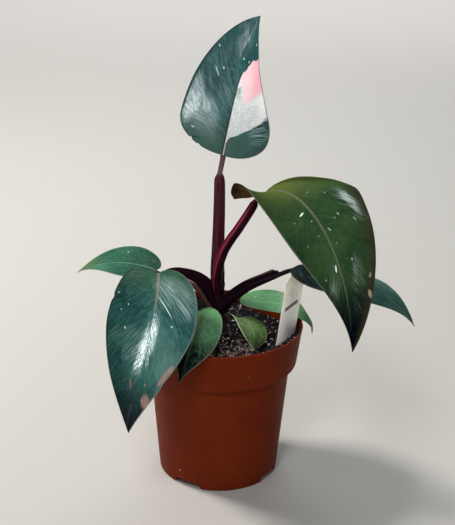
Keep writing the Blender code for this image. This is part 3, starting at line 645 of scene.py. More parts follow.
# Leaves further back are plainer
quietLook = {
    **tealLook, "specular": 0.02, "gloss": (), "paintedSheenZones": (), "stains": (), "flecks": (), "ribWidth": 0.7,
}
midTealLook = {
    **quietLook, "streakTint": 0.28, "lineTint": 0.25,
    "young": (0.052, 0.155, 0.096), "old": (0.026, 0.098, 0.062), "pale": (0.10, 0.26, 0.17),
    "foot": (0.010, 0.045, 0.026), "footTo": 0.5, "tip": (0.10, 0.17, 0.080),
    "rib": (0.14, 0.27, 0.18), "ribTo": 0.9, "flecks": ((1, 0.391, 13.0, 0.7, 0.5, 158),),
    "margins": ((0.09, 0.15, 0.11), (0.09, 0.15, 0.11)),
}
# The low right leaf: its foot, under the right leaf, is painted near black as painted shade; further out it
# is teal
shadedFootLook = {
    **quietLook,
    "young": (0.062, 0.195, 0.155), "old": (0.024, 0.098, 0.078), "pale": (0.050, 0.17, 0.13),
    "foot": (0.0015, 0.0025, 0.008), "footTo": 0.42, "tip": (0.040, 0.120, 0.085),
    "rib": (0.05, 0.13, 0.10), "ribTo": 0.95, "margins": ((0.02, 0.03, 0.03), (0.10, 0.09, 0.05)),
}
freshLook = {
    **quietLook, "specular": 0.06, "specks": 0.22, "tipFrom": 0.55,
    "young": (0.095, 0.27, 0.105), "old": (0.052, 0.18, 0.070), "pale": (0.19, 0.42, 0.20),
    "foot": (0.095, 0.26, 0.105), "tip": (0.060, 0.16, 0.070), "rib": (0.20, 0.38, 0.20), "ribTo": 0.9,
    "margins": ((0.24, 0.33, 0.22), (0.24, 0.33, 0.22)),
}
seedlingLook = {
    **freshLook, "specular": 0.03, "roughness": 0.36, "specks": 0.95, "streakTint": 0.6, "lineTint": 0.4,
    "young": (0.090, 0.170, 0.045), "old": (0.060, 0.128, 0.034), "pale": (0.24, 0.36, 0.15),
    "foot": (0.13, 0.20, 0.070), "tip": (0.040, 0.085, 0.026), "rib": (0.30, 0.40, 0.20),
    "margins": ((0.30, 0.34, 0.16), (0.52, 0.55, 0.36)), "marginStrength": 1.0,
}
# The small left leaf: its tip half is painted near black, a painted shadow cast by the left front leaf
castShadowLook = {
    **freshLook, "tipFrom": 0.42, "tipTo": 0.68,
    "young": (0.075, 0.215, 0.090), "old": (0.045, 0.15, 0.065), "tip": (0.001, 0.003, 0.006),
}


# A drawn line: height on the leaf over the way out to the margin
def drawnLine(at, points):
    node = addNode(at["share"].tree, "ShaderNodeFloatCurve", {"Factor": 1.0, "Value": at["share"]})
    curve = node.mapping.curves[0]
    curve.points[0].location = points[0]
    curve.points[1].location = points[-1]
    for point in points[1:-1]:
        curve.points.new(*point)
    node.mapping.update()
    return Field(node)


# The pink and white sector, edged by two lines that run out with the veins
def sectorOver(at, colour, sector, streaks):
    place = objectPlace(streaks.tree)
    blotch = grain(place, sector["blotchScale"])
    mottle = grain(place, sector["mottleScale"])
    share, vein = at["share"], at["vein"]
    below = (drawnLine(at, sector["upper"]) - vein).shifted(blotch, sector["upperWaver"])
    above = (vein - drawnLine(at, sector["lower"])).shifted(streaks, sector["lowerWaver"])
    above = above.spread(sector["lowerFrom"], share.spread(*sector["lowerTo"]))
    inside = below.spread(*sector["upperEdge"]) * above * at["half"]
    ridged = mottle * sector["mottleShare"] + streaks * (1.0 - sector["mottleShare"])
    tint = mixed(ridged.spread(*sector["brightBand"]), sector["white"], sector["bright"])
    tint = mixed(share.spread(*sector["outward"]) * sector["outwardStrength"], tint, sector["bright"])
    marbled = streaks.spread(*sector["marbleBand"]) * vein.spread(*sector["marbleHeight"])
    marbled = marbled * share.spread(*sector["marbleOut"])
    tint = mixed(marbled * sector["marbleStrength"], tint, sector["grey"])
    patch = vein.spread(*sector["patchFoot"]) * vein.spread(*sector["patchTop"])
    patch = share.spread(*sector["patchOut"]) * blotch.spread(*sector["patchBand"]) * patch
    tint = mixed(patch * sector["patchStrength"], tint, sector["grey"])
    rise = (vein - drawnLine(at, sector["blushFrom"])).shifted(streaks, sector["blushWaver"])
    rise = rise.shifted(blotch, sector["blushRagged"]).spread(*sector["blushEdge"])
    pinker = share.shifted(blotch, sector["pinkWaver"]).spread(*sector["pinkOut"])
    tint = mixed(rise, tint, mixed(pinker, sector["blush"], sector["pink"]))
    seam = at["off"].spread(*sector["seamWidth"]) * at["along"].spread(*sector["seamEnd"]) * at["half"]
    return mixed(seam, mixed(inside, colour, tint), sector["seam"])


# The noises that a leaf's colours and relief share
def leafGrains(at, length, place):
    finish = leafFinish
    drift = veinStreaks(at, length / finish["linePitch"], finish["lineReach"], 1.0)
    lines = abs(drift - 0.5).spread(finish["lineWidth"], 0.0) * at["share"].spread(*finish["lineFade"])
    streaks = veinStreaks(at, length / finish["streakPitch"], finish["streakReach"], 4.0)
    return streaks, lines, grain(place, finish["poreScale"]), grain(place, finish["blotchScale"])


# Green from old to young, darker or paler at the foot, the tip and the side, and streaked; zones of pale
# streaks are painted sheen, the small left leaf's dark tip is painted shadow and the low right leaf's dark
# foot is painted shade
def leafGreen(at, look, length, place, streaks, lines, blotches):
    finish = leafFinish
    share, along = at["share"], at["along"]
    patches = grain(place, finish["patchScale"], 4.0)
    foot = along.shifted(blotches, finish["footWaver"]).spread(look["footTo"], finish["footFrom"])
    tip = along.shifted(blotches, finish["tipWaver"]).spread(look["tipFrom"], look["tipTo"])
    colour = mixed(patches.spread(*finish["patchBand"]), look["old"], look["young"])
    colour = mixed(tip, mixed(foot, colour, look["foot"]), look["tip"])
    if look["sideFrom"] < 1.0:
        side = share.spread(look["sideFrom"], finish["sideTo"]) * (1.0 - at["half"])
        colour = mixed(side, colour, look["side"])
    tint = streaks.spread(*finish["streakBand"]) * look["streakTint"]
    tint = calc("MAXIMUM", tint, lines * look["lineTint"])
    tint = calc("MAXIMUM", tint, blotches.spread(*finish["blotchBand"]) * finish["blotchTint"])
    tint = tint * along.spread(1.0, look["tipFrom"], finish["tintAtTip"], 1.0)
    colour = mixed(tint, colour, look["pale"])
    # Painted sheen: pale hair-like streaks in the listed zones stand in for highlights on the leaf
    if look["paintedSheenZones"]:
        wornAndSheen = markMask(at, length, look["paintedSheenZones"], finish["zoneEdge"])
        hairs = veinStreaks(at, length / finish["hairPitch"], finish["hairReach"], 2.0)
        colour = mixed(wornAndSheen * hairs.spread(*finish["hairBand"]), colour, look["paintedSheenColour"])
    return colour


# The rib, which narrows towards the tip and is hidden by the sector
def ribMask(at, look):
    along, finish = at["along"], leafFinish
    narrowed = at["off"] / along.spread(0.0, 1.0, look["ribWidth"], finish["ribTipWidth"])
    rib = narrowed.spread(*finish["ribEdge"])
    rib = rib * along.spread(look["ribTo"], look["ribTo"] - finish["ribFade"])
    if look["sector"]:
        rib = rib * (1.0 - at["half"])
    return rib * look["ribStrength"]


# Stains, flecks and specks, and the pale margin over them
def leafMarks(at, look, length, colour, blotches):
    finish = leafFinish
    if look["stains"]:
        stained = markMask(at, length, look["stains"], finish["stainEdge"], blotches)
        colour = mixed(stained * finish["stainStrength"], colour, look["stainColour"])
    if look["flecks"] or look["specks"]:
        marks = markMask(at, length, look["flecks"], finish["fleckEdge"])
        for cell, size, kept in finish["specks"] if look["specks"] else ():
            marks = calc("MAXIMUM", marks, speckMask(at, length, cell, size, look["specks"] * kept))
        colour = mixed(marks, colour, look["fleckColour"])
    edge = at["share"].spread(*finish["margin"]) * look["marginStrength"]
    return mixed(edge, colour, mixed(at["half"], *look["margins"]))


def leafSkin(name, own, length):
    look = {**plainLook, **own}
    finish = leafFinish
    skin, tree, shader = newSkin(name, look["roughness"], look["specular"])
    shader.inputs["Coat Roughness"].default_value = look["coatRoughness"]
    at, place = leafReadings(tree), objectPlace(tree)
    streaks, lines, pores, blotches = leafGrains(at, length, place)
    colour = leafGreen(at, look, length, place, streaks, lines, blotches)
    if look["sector"]:
        colour = sectorOver(at, colour, look["sector"], streaks)
    colour = mixed(ribMask(at, look), colour, look["rib"])
    joinTo(leafMarks(at, look, length, colour, blotches), shader, "Base Color")
    roughness = [look["roughness"] + more for more in finish["poreRough"]]
    joinTo(pores.spread(*finish["poreBand"], *roughness), shader, "Roughness")
    height = streaks + pores * finish["poreRelief"] - lines * finish["lineRelief"]
    relief = bumped(shader, height, finish["reliefDepth"])
    if look["gloss"]:
        waxy = markMask(at, length, look["gloss"], finish["zoneEdge"])
        joinTo(waxy * (streaks + pores).spread(*finish["glossBand"]), shader, "Coat Weight")
        joinTo(relief, shader, "Coat Normal")
    return skin


def leafBackSkin(name, own):
    look = {**plainLook, **own}
    finish = backFinish
    skin, tree, shader = newSkin(name, finish["roughness"], finish["specular"])
    at = leafReadings(tree)
    streaks = veinStreaks(at, finish["streaks"], leafFinish["streakReach"], 3.0)
    patches = grain(objectPlace(tree), finish["patchScale"]).spread(*finish["patchBand"])
    rib = at["off"].spread(*finish["ribWidth"]) * finish["ribTint"]
    # Painted light: the middle of the underside takes a lighter, warmer colour, standing in for light
    # shining through the blade
    colour = mixed(at["share"].spread(*finish["centre"]) * patches, look["under"], look["underGlow"])
    colour = mixed(streaks.spread(*finish["streakBand"]) * finish["streakTint"], colour, look["under"])
    colour = mixed(rib, colour, finish["rib"])
    if look["sector"]:
        through = sectorOver(at, colour, look["sector"], streaks)
        colour = mixed(finish["sectorShare"], colour, through)
    joinTo(colour, shader, "Base Color")
    bumped(shader, streaks, leafFinish["reliefDepth"])
    return skin


leaves = (
    # name, shape, look, slot
    ("top", topLeaf, variegatedLook, "variegated_leaf"),
    ("right", rightLeaf, oliveLook, "olive_leaf"),
    ("left_front", leftFrontLeaf, tealLook, "dark_leaf"),
    ("left_back", leftBackLeaf, midTealLook, "dark_leaf"),
    ("low_right", lowRightLeaf, shadedFootLook, "dark_leaf"),
    ("back_right", backRightLeaf, freshLook, "fresh_leaf"),
    ("small_left", smallLeftLeaf, castShadowLook, "fresh_leaf"),
    ("small_front", smallFrontLeaf, seedlingLook, "olive_leaf"),
)

for leafName, leafShape, leafLook, leafSlot in leaves:
    upperSkin = leafSkin(leafName + "LeafSkin", leafLook, leafShape["length"])
    lowerSkin = leafBackSkin(leafName + "LeafBack", leafLook)
    makeLeaf(leafName + "Leaf", leafShape, (upperSkin, lowerSkin))
print("leaves made:", len(leaves))


# Petioles: grooved stalks with a winged sheath that ends bluntly

petioleMesh = {
    "sides": 56, "stepsPerSpan": 14, "seatReach": 8.0,
    "seatDrop": 0.35, "grooveAngle": 0.34, "wingAngle": 0.62, "wingWidth": 0.17,
    "endLength": 2.2, "wingRise": 0.6, "tipReach": 3.0, "tipRise": 0.7,
}
plainPetiole = {
    "groove": 0.16, "wing": (0.0, 0.0), "sheathTo": 0.0, "faces": (0.0, -0.2, 1.0), "lineWidth": 0.2,
    "seatSlope": 0.35, "slot": "red_petiole",
    # skin and far colour the two sides of a stalk: one painted lit, the other painted in shade
    "skin": (0.030, 0.005, 0.014), "far": (0.010, 0.003, 0.008), "line": (0.10, 0.012, 0.030),
    "wingColour": (0.10, 0.040, 0.030), "streak": (0.16, 0.050, 0.065), "neckFrom": 500.0,
    "neck": (0.17, 0.10, 0.12),
}
petioleFinish = {
    "roughness": 0.34, "specular": 0.015, "fibreLong": 0.03, "fibreRound": 9.0, "freckleScale": 700.0,
    "paintedShadeBand": (-0.5, 0.6), "neckSpan": 2.0, "fibreBand": (0.45, 0.65), "fibreTint": 0.35,
    "freckleBand": (0.62, 0.72), "freckleTint": 0.25, "wingBand": (0.45, 0.92), "relief": 0.12,
}
# Routes are points along the middle with a radius each, up to where the blade's seat begins
petioles = {
    "top": {
        "route": [(-2.9, 21.5, 128.0, 4.4), (-3.1, 21.4, 148.0, 5.2), (-3.0, 21.3, 165.0, 4.8),
                  (-2.7, 20.4, 182.0, 4.5), (-2.5, 19.9, 199.0, 4.3), (-2.5, 19.6, 214.0, 4.1),
                  (-2.6, 19.5, 221.0, 3.9), (-2.6, 19.5, 224.5, 3.0), (-2.6, 19.5, 226.5, 1.95)],
        "groove": 0.10, "faces": (-0.7, -1.0, 0.0), "neckFrom": 97.0, "lineWidth": 0.16,
        "skin": (0.014, 0.003, 0.008), "far": (0.066, 0.008, 0.020), "line": (0.120, 0.010, 0.030),
        "streak": (0.22, 0.12, 0.14),
    },
    "right": {
        "route": [(-2.8, 21.5, 128.0, 3.9), (-3.2, 17.5, 141.0, 3.7), (-3.0, 14.2, 150.0, 3.6),
                  (-1.4, 12.0, 160.5, 3.6), (1.8, 10.6, 170.6, 3.6), (6.2, 9.2, 179.4, 3.6),
                  (11.2, 7.2, 187.8, 3.5), (18.4, 4.4, 200.9, 3.3), (21.5, 3.0, 207.0, 3.2),
                  (22.5, 2.6, 209.2, 3.0), (23.6, 2.2, 211.4, 1.9)],
        # The red line is a painted highlight along the ridge
        "groove": 0.10, "seatSlope": 0.0, "faces": (-0.62, -0.85, 0.35), "skin": (0.062, 0.004, 0.014),
        "far": (0.012, 0.002, 0.008), "line": (0.34, 0.026, 0.062), "lineWidth": 0.26,
    },
    "left_front": {
        "route": [(-2.8, 21.5, 115.5, 1.9), (-9.7, 15.9, 123.9, 1.9), (-13.2, 10.9, 132.5, 1.9),
                  (-17.2, 4.7, 141.2, 1.9), (-22.0, -2.0, 149.1, 1.8), (-31.0, -8.0, 155.0, 1.7)],
        # The pale line is a painted highlight along the stalk
        "skin": (0.20, 0.085, 0.080), "far": (0.12, 0.045, 0.045), "line": (0.50, 0.34, 0.32),
        "lineWidth": 0.5, "faces": (0.3, -0.3, 1.0), "slot": "pink_brown_petiole",
    },
    "left_back": {
        "route": [(-2.8, 21.5, 120.0, 5.0), (-6.2, 21.4, 127.5, 5.8), (-11.0, 20.4, 136.0, 6.2),
                  (-17.5, 19.0, 142.4, 6.0), (-25.3, 16.8, 147.2, 5.0), (-34.5, 14.5, 150.5, 3.4)],
        "wing": (0.3, 1.3), "sheathTo": 0.84, "faces": (0.1, 0.5, 1.0), "wingColour": (0.030, 0.010, 0.012),
        "streak": (0.045, 0.012, 0.024), "skin": (0.012, 0.003, 0.008), "line": (0.03, 0.008, 0.014),
    },
    "low_right": {
        "route": [(-2.8, 21.5, 118.0, 4.0), (2.7, 18.0, 124.1, 3.6), (7.7, 14.0, 130.6, 3.5),
                  (14.3, 9.0, 138.0, 3.2), (21.5, 3.0, 145.2, 2.7), (30.1, -2.0, 151.4, 2.1),
                  (38.2, -5.0, 156.4, 1.8), (46.3, -8.0, 161.7, 1.7)],
        "wing": (0.2, 4.9), "sheathTo": 0.74, "faces": (-0.3, 0.75, 1.0), "wingColour": (0.19, 0.11, 0.10),
        "streak": (0.060, 0.018, 0.032), "skin": (0.014, 0.004, 0.012), "line": (0.05, 0.010, 0.026),
    },
    "back_right": {
        "route": [(-2.8, 21.5, 115.5, 1.3), (2.5, 23.0, 115.7, 1.2), (5.0, 23.0, 118.0, 1.1)],
        "skin": (0.07, 0.035, 0.03),
    },
    "small_left": {
        "route": [(-2.8, 21.5, 115.0, 1.6), (-3.9, 14.0, 119.5, 1.5), (-7.5, 4.5, 126.0, 1.5)],
        "skin": (0.10, 0.075, 0.04), "line": (0.16, 0.14, 0.07), "slot": "green_petiole",
    },
    "small_front": {
        "route": [(-2.8, 21.5, 115.5, 1.1), (0.5, 16.0, 115.2, 1.0), (4.5, 10.5, 115.8, 1.0)],
        "skin": (0.030, 0.022, 0.014), "line": (0.05, 0.045, 0.022), "slot": "green_petiole",
    },
}


# A smooth curve through a route's points
def smoothRoute(route, steps):
    points = [np.array(p) for p in route]
    points = [2 * points[0] - points[1]] + points + [2 * points[-1] - points[-2]]
    line = []
    for p0, p1, p2, p3 in zip(points, points[1:], points[2:], points[3:]):
        for k in range(steps):
            t = k / steps
            line.append(0.5 * (2 * p1 + (p2 - p0) * t + (2 * p0 - 5 * p1 + 4 * p2 - p3) * t ** 2
                               + (3 * p1 - p0 - 3 * p2 + p3) * t ** 3))
    line.append(points[-2])
    return np.array(line)


# A petiole's last points: under the blade's lobe, then grown into the rib at the base
def seatPoints(own, last, slope):
    leaf = {**plainLeaf, **own}
    path, left, up = [item[0] for item in ribFrames(leaf, np.array([0.0]))]
    ahead = np.cross(left, up)
    radius = leaf["seat"]
    seat = path - up * (petioleMesh["seatDrop"] + radius) + ahead * radius
    back = np.array(last[:3]) - seat
    back -= up * back.dot(up)
    back *= petioleMesh["seatReach"] / np.linalg.norm(back)
    lobe = min(max(leaf["lobe"]) * leaf["length"], petioleMesh["seatReach"])
    approach = seat + back - up * lobe * slope
    grown = seat + ahead * petioleMesh["tipReach"] + up * petioleMesh["tipRise"]
    return [(*approach, (last[3] + radius) / 2), (*seat, radius * 1.1), (*grown, radius * 0.6)]


def makePetiole(name, stalk, leaf, skin):
    seat = seatPoints(leaf, stalk["route"][-1], stalk["seatSlope"])
    line = smoothRoute(stalk["route"] + seat, petioleMesh["stepsPerSpan"])
    reach = np.concatenate([[0.0], np.cumsum(np.linalg.norm(np.diff(line[:, :3], axis=0), axis=1))])
    turn = np.linspace(-math.pi, math.pi, petioleMesh["sides"], endpoint=False)
    groove = stalk["groove"] * np.exp(-(turn / petioleMesh["grooveAngle"]) ** 2)
    wing = np.exp(-((np.abs(turn) - petioleMesh["wingAngle"]) / petioleMesh["wingWidth"]) ** 2)
    wingFrom, wingTo = stalk["wing"]
    sheathEnd = stalk["sheathTo"] * reach[-1]
    ahead = np.gradient(line[:, :3], axis=0)
    ahead /= np.linalg.norm(ahead, axis=1)[:, None]
    points, places = [], []
    for i, point in enumerate(line):
        up = np.array(stalk["faces"]) - ahead[i] * np.dot(stalk["faces"], ahead[i])
        up /= np.linalg.norm(up)
        side = np.cross(ahead[i], up)
        ended = 1.0 / (1.0 + math.exp(min(50.0, (reach[i] - sheathEnd) / petioleMesh["endLength"] * 4.0)))
        grown = min(1.0, reach[i] / max(sheathEnd, 1.0)) ** petioleMesh["wingRise"]
        fin = (wingFrom + (wingTo - wingFrom) * grown) * wing * ended
        radius = point[3] * (1.0 - groove) + fin
        ring = (np.cos(turn) * radius)[:, None] * up + (np.sin(turn) * radius)[:, None] * side
        points.append(point[:3] + ring)
        places.append(np.stack([np.full(len(turn), reach[i]), turn, fin], -1))
    faces = tubeFaces(len(line), petioleMesh["sides"])
    piece = addPiece(name, np.concatenate(points), faces, (skin,), smoothAngle=60)
    addLayer(piece, "stalkPlace", "FLOAT_VECTOR", "vector", np.concatenate(places))


def petioleSkin(name, look):
    finish = petioleFinish
    skin, tree, shader = newSkin(name, finish["roughness"], finish["specular"])
    reach, turn, fin = parted(attribute(tree, "stalkPlace", "Vector"))
    fibres = grain(packed(reach * finish["fibreLong"], turn * finish["fibreRound"], 0.0), 1.0, 4.0)
    freckles = grain(objectPlace(tree), finish["freckleScale"], 2.0).spread(*finish["freckleBand"])
    neck = reach.spread(look["neckFrom"], look["neckFrom"] + finish["neckSpan"])
    wing = fin.spread(*(max(look["wing"][1], 1.0) * share for share in finish["wingBand"]))
    # Painted shade: round the stalk the skin colour turns into the far colour, so one side is painted lit
    # and the other in shade
    colour = mixed(turn.spread(*finish["paintedShadeBand"]), look["skin"], look["far"])
    colour = mixed(neck, colour, look["neck"])
    colour = mixed(fibres.spread(*finish["fibreBand"]) * finish["fibreTint"], colour, look["streak"])
    colour = mixed(freckles * finish["freckleTint"], colour, look["line"])
    # Painted highlight: on the right and left_front stalks this line is a painted highlight along the ridge;
    # on the others it is a thin line of their own colour. Freckles also take the line colour.
    colour = mixed(abs(turn).spread(look["lineWidth"], look["lineWidth"] * 0.3), colour, look["line"])
    colour = mixed(wing, colour, look["wingColour"])
    joinTo(colour, shader, "Base Color")
    bumped(shader, fibres, finish["relief"])
    return skin


for leafName, leafShape, _, _ in leaves:
    leafStalk = {**plainPetiole, **petioles[leafName]}
    stalkSkin = petioleSkin(leafName + "PetioleSkin", leafStalk)
    makePetiole(leafName + "Petiole", leafStalk, leafShape, stalkSkin)
print("petioles made:", len(petioles))


# Pot: turned plastic with a collar, a rolled lip, raised channels and drain holes under the floor

pot = {
    "height": 118.0, "rimRadius": 61.0, "wall": 1.3, "collarHeight": 29.8, "collarFootRadius": 57.3,
    "collarUnderRound": 1.6, "bodyTopRadius": 52.4, "bodyFootRadius": 44.8, "footRound": 1.2,
    "innerFootRound": 2.0, "floor": 1.8, "stepTop": 91.2, "stepBottom": 89.2, "lipRadius": 0.85,
    "lipOut": 0.15, "lipReach": 1.6, "segments": 168, "footBands": (0.0, 20.0, 38.0),
    "bands": (6.5, 24.0, 46.0, 68.0), "collarBands": (96.0, 106.0), "innerBand": 106.0, "openAbove": 6.0,
    "channelCount": 4, "channelTurn": -30.4, "channelStart": 18.0, "channelWidth": 24.0,
    "channelTopWidth": 19.0, "channelHeight": 4.6, "channelBelow": 1.0, "drainRadius": 3.5,
    "drainPlace": 31.0, "drainLength": 40.0, "drainSides": 32, "sharpAngle": 32,
}


def arcPoints(centre, radius, start, end, steps):
    turns = [math.radians(start + (end - start) * i / steps) for i in range(steps + 1)]
    return [(centre[0] + radius * math.cos(a), centre[1] + radius * math.sin(a)) for a in turns]


# Radius of the pot's inner wall at a height
def innerRadius(height):
    heights = [pot["floor"] + pot["innerFootRound"], pot["stepBottom"], pot["stepTop"], pot["height"]]
    outer = [pot["bodyFootRadius"], pot["bodyTopRadius"], pot["collarFootRadius"], pot["rimRadius"]]
    return float(np.interp(height, heights, [radius - pot["wall"] for radius in outer]))


# Points at the given heights on a straight line between two profile points
def alongLine(first, last, heights):
    return [(first[0] + (last[0] - first[0]) * (z - first[1]) / (last[1] - first[1]), z) for z in heights]


# Turns a profile of radii and heights round the upright axis
def turned(name, profile, segments):
    points, faces, rings = [], [], []
    for radius, height in profile:
        if radius < 1e-6:
            rings.append([len(points)] * segments)
            points.append((0.0, 0.0, height))
            continue
        rings.append(list(range(len(points), len(points) + segments)))
        for i in range(segments):
            a = math.tau * i / segments
            points.append((radius * math.cos(a), radius * math.sin(a), height))
    for low, high in zip(rings, rings[1:]):
        for i in range(segments):
            j = (i + 1) % segments
            corners = [low[i], low[j], high[j], high[i]]
            faces.append([c for k, c in enumerate(corners) if c != corners[k - 1]])
    return newObject(name, newMesh(name, points, faces))


def lipArc(start, end, steps):
    radius = pot["lipRadius"]
    centre = (pot["rimRadius"] + pot["lipOut"] - radius, pot["height"] - radius)
    return arcPoints(centre, radius, start, end, steps)


def potOuterProfile():
    bend, under = pot["footRound"], pot["collarUnderRound"]
    collarFoot = pot["height"] - pot["collarHeight"]
    bodyTop = (pot["bodyTopRadius"], collarFoot)
    foot = arcPoints((pot["bodyFootRadius"] - bend, bend), bend, -90, 0, 6)
    step = arcPoints((pot["collarFootRadius"] - under, collarFoot + under), under, -90, 0, 6)
    body = alongLine(foot[-1], bodyTop, pot["bands"])
    collar = alongLine(step[-1], (pot["rimRadius"], pot["height"]), pot["collarBands"])
    middle = [(radius, 0.0) for radius in pot["footBands"]]
    return middle + foot + body + [bodyTop] + step + collar + lipArc(-50, 90, 10) + [(0.0, pot["height"])]


def potCavityProfile():
    bend, top = pot["innerFootRound"], pot["height"] + pot["openAbove"]
    foot = arcPoints((innerRadius(pot["floor"]) - bend, pot["floor"] + bend), bend, -90, 0, 5)
    heights = (pot["stepBottom"], pot["stepTop"], pot["innerBand"], pot["height"] - pot["lipReach"])
    lip = lipArc(215, 90, 9)
    wall = [(innerRadius(z), z) for z in heights]
    return [(0.0, pot["floor"])] + foot + wall + lip + [(lip[-1][0], top), (0.0, top)]


# Angles of the raised channels, each with a drain hole
def channelTurns():
    count = pot["channelCount"]
    return [math.radians(pot["channelTurn"] - 90.0 + i * 360.0 / count) for i in range(count)]


def toObject(name, shape):
    mesh = bpy.data.meshes.new(name)
    shape.to_mesh(mesh)
    shape.free()
    return newObject(name, mesh)


# Bars with the section of the channels, grown by the wall's thickness for their roofs
def channelBars(name, grow):
    bars = bmesh.new()
    low, high = pot["channelWidth"] / 2 + grow, pot["channelTopWidth"] / 2 + grow
    below, top, start = -pot["channelBelow"], pot["channelHeight"] + grow, pot["channelStart"] - grow
    for angle in channelTurns():
        turn = Matrix.Rotation(angle, 3, "Z")
        ends = []
        for along in (start, pot["rimRadius"]):
            corners = [(along, -low, below), (along, low, below), (along, high, top), (along, -high, top)]
            ends.append([bars.verts.new(turn @ Vector(corner) * mm) for corner in corners])
        bars.faces.new(ends[0][::-1])
        bars.faces.new(ends[1])
        for j in range(4):
            k = (j + 1) % 4
            bars.faces.new((ends[0][j], ends[0][k], ends[1][k], ends[1][j]))
    return toObject(name, bars)


def drainRods(name):
    rods = bmesh.new()
    radius = pot["drainRadius"] * mm
    for angle in channelTurns():
        place = Matrix.Translation(Vector((math.cos(angle), math.sin(angle), 0.0)) * pot["drainPlace"] * mm)
        bmesh.ops.create_cone(rods, cap_ends=True, segments=pot["drainSides"], radius1=radius,
                              radius2=radius, depth=pot["drainLength"] * mm, matrix=place)
    return toObject(name, rods)


# Cuts the tool out of the piece's mesh
def cutAway(piece, tool):
    modifier = piece.modifiers.new("cut", "BOOLEAN")
    modifier.operation = "DIFFERENCE"
    modifier.solver = "EXACT"
    modifier.object = tool
    graph = bpy.context.evaluated_depsgraph_get()
    solved = bpy.data.meshes.new_from_object(piece.evaluated_get(graph))
    piece.modifiers.clear()
    old = piece.data
    piece.data = solved
    bpy.data.meshes.remove(old)
    bpy.data.objects.remove(tool, do_unlink=True)


potFinish = {
    "roughness": 0.5, "specular": 0.04, "cloudScale": 26.0, "cloudBand": (0.35, 0.65),
    "flowRound": 160.0, "flowLong": 9.0, "flowBand": (0.3, 0.7), "flowRough": (0.44, 0.56),
    "peelScale": 1500.0, "peelRelief": 0.25, "relief": 0.06, "dustScale": 420.0, "dustBand": (0.60, 0.78),
    "dustHeight": (30.0, 4.0), "dustShare": (0.10, 0.5), "markScale": 240.0, "markEdge": (0.10, 0.05),
    "markShare": 0.035, "markStrength": 0.5, "fleckAt": (-28.3, -36.2, 12.2), "fleckEdge": (0.825, 0.44),
    "skin": (0.170, 0.023, 0.005), "shade": (0.148, 0.019, 0.0045), "dust": (0.30, 0.09, 0.04),
    "mark": (0.62, 0.48, 0.42),
}


def potSkin():
    finish = potFinish
    skin, tree, shader = newSkin("terracottaPlastic", finish["roughness"], finish["specular"])
    place = objectPlace(tree)
    x, y, z = parted(place)
    across, up = finish["flowRound"], finish["flowLong"]
    flow = grain(packed(x * across, y * across, z * up), 1.0)
    peel = grain(place, finish["peelScale"], 2.0)
    cloudy = grain(place, finish["cloudScale"]).spread(*finish["cloudBand"])
    low, high = (height * mm for height in finish["dustHeight"])
    dusty = grain(place, finish["dustScale"], 4.0).spread(*finish["dustBand"])
    dusty = dusty * z.spread(low, high, *finish["dustShare"])
    fleckAt = tuple(value * mm for value in finish["fleckAt"])
    away = addNode(tree, "ShaderNodeVectorMath", {0: place, 1: fleckAt}, operation="DISTANCE")
    fleck = Field(away, "Value").spread(*(edge * mm for edge in finish["fleckEdge"]))
    marks = dots(place, finish["markScale"], *finish["markEdge"], finish["markShare"])
    marks = calc("MAXIMUM", marks * finish["markStrength"], fleck)
    colour = mixed(cloudy, finish["shade"], finish["skin"])
    colour = mixed(marks, mixed(dusty, colour, finish["dust"]), finish["mark"])
    joinTo(colour, shader, "Base Color")
    joinTo(flow.spread(*finish["flowBand"], *finish["flowRough"]), shader, "Roughness")
    bumped(shader, flow + peel * finish["peelRelief"], finish["relief"])
    return skin


potPiece = turned("potShell", potOuterProfile(), pot["segments"])
potCavity = turned("potCavity", potCavityProfile(), pot["segments"])
cutAway(potCavity, channelBars("channelRoofs", pot["wall"]))
cutAway(potPiece, potCavity)
cutAway(potPiece, channelBars("channelCutters", 0.0))
cutAway(potPiece, drainRods("drainRods"))
potPiece.data.materials.append(potSkin())
potPiece.data.shade_smooth()
potPiece.data.set_sharp_from_angle(angle=math.radians(pot["sharpAngle"]))
settle(potPiece, ("pot",))
print("pot turned and cut")


# Soil: a rough top with crumbs, fibres, bark chips and perlite

soil = {
    "level": 105.5, "moundHeight": 5.5, "moundSpread": 22.0, "stemPlace": (-2.8, 21.5), "gap": 0.35,
    "ripple": 0.6, "ripplePitch": (0.21, 0.17), "rippleShift": 0.7, "bankStart": 40.0,
    "banks": ((-8.0, 26.0, 9.0), (50.0, 22.0, -4.0), (112.0, 34.0, 8.5)), "segments": 230, "rings": 84,
    "ringSpacing": 0.8, "edgeDrop": 1.0, "stepGap": 0.3, "floor": 7.0, "seed": 11,
    "lumpHeight": 2.0, "lumpScale": 0.16, "crumbHeight": 1.92, "crumbScale": 0.52, "gritHeight": 0.55,
    "gritScale": 1.35, "stemClear": 6.5, "lumpWallGap": 2.2, "heartWallGap": 5.0, "strandWallGap": 1.2,
    "lumpSwell": 0.45, "lumpPitch": 1.3, "strandSpans": 6, "strandLift": 0.25, "strandEnd": 0.35,
    "heart": (4.0, -30.0), "heartSpread": (13.0, 9.1),
    "dark": (0.003, 0.003, 0.005), "brown": (0.018, 0.013, 0.015), "grit": (0.10, 0.072, 0.060),
    "coarse": (420.0, 5.0, 0.65), "fine": (1900.0, 4.0, 0.7), "brownBand": (0.42, 0.68),
    "gritBand": (0.64, 0.80), "fineRelief": 0.5, "relief": 0.9, "looseBand": (0.35, 0.65),
}
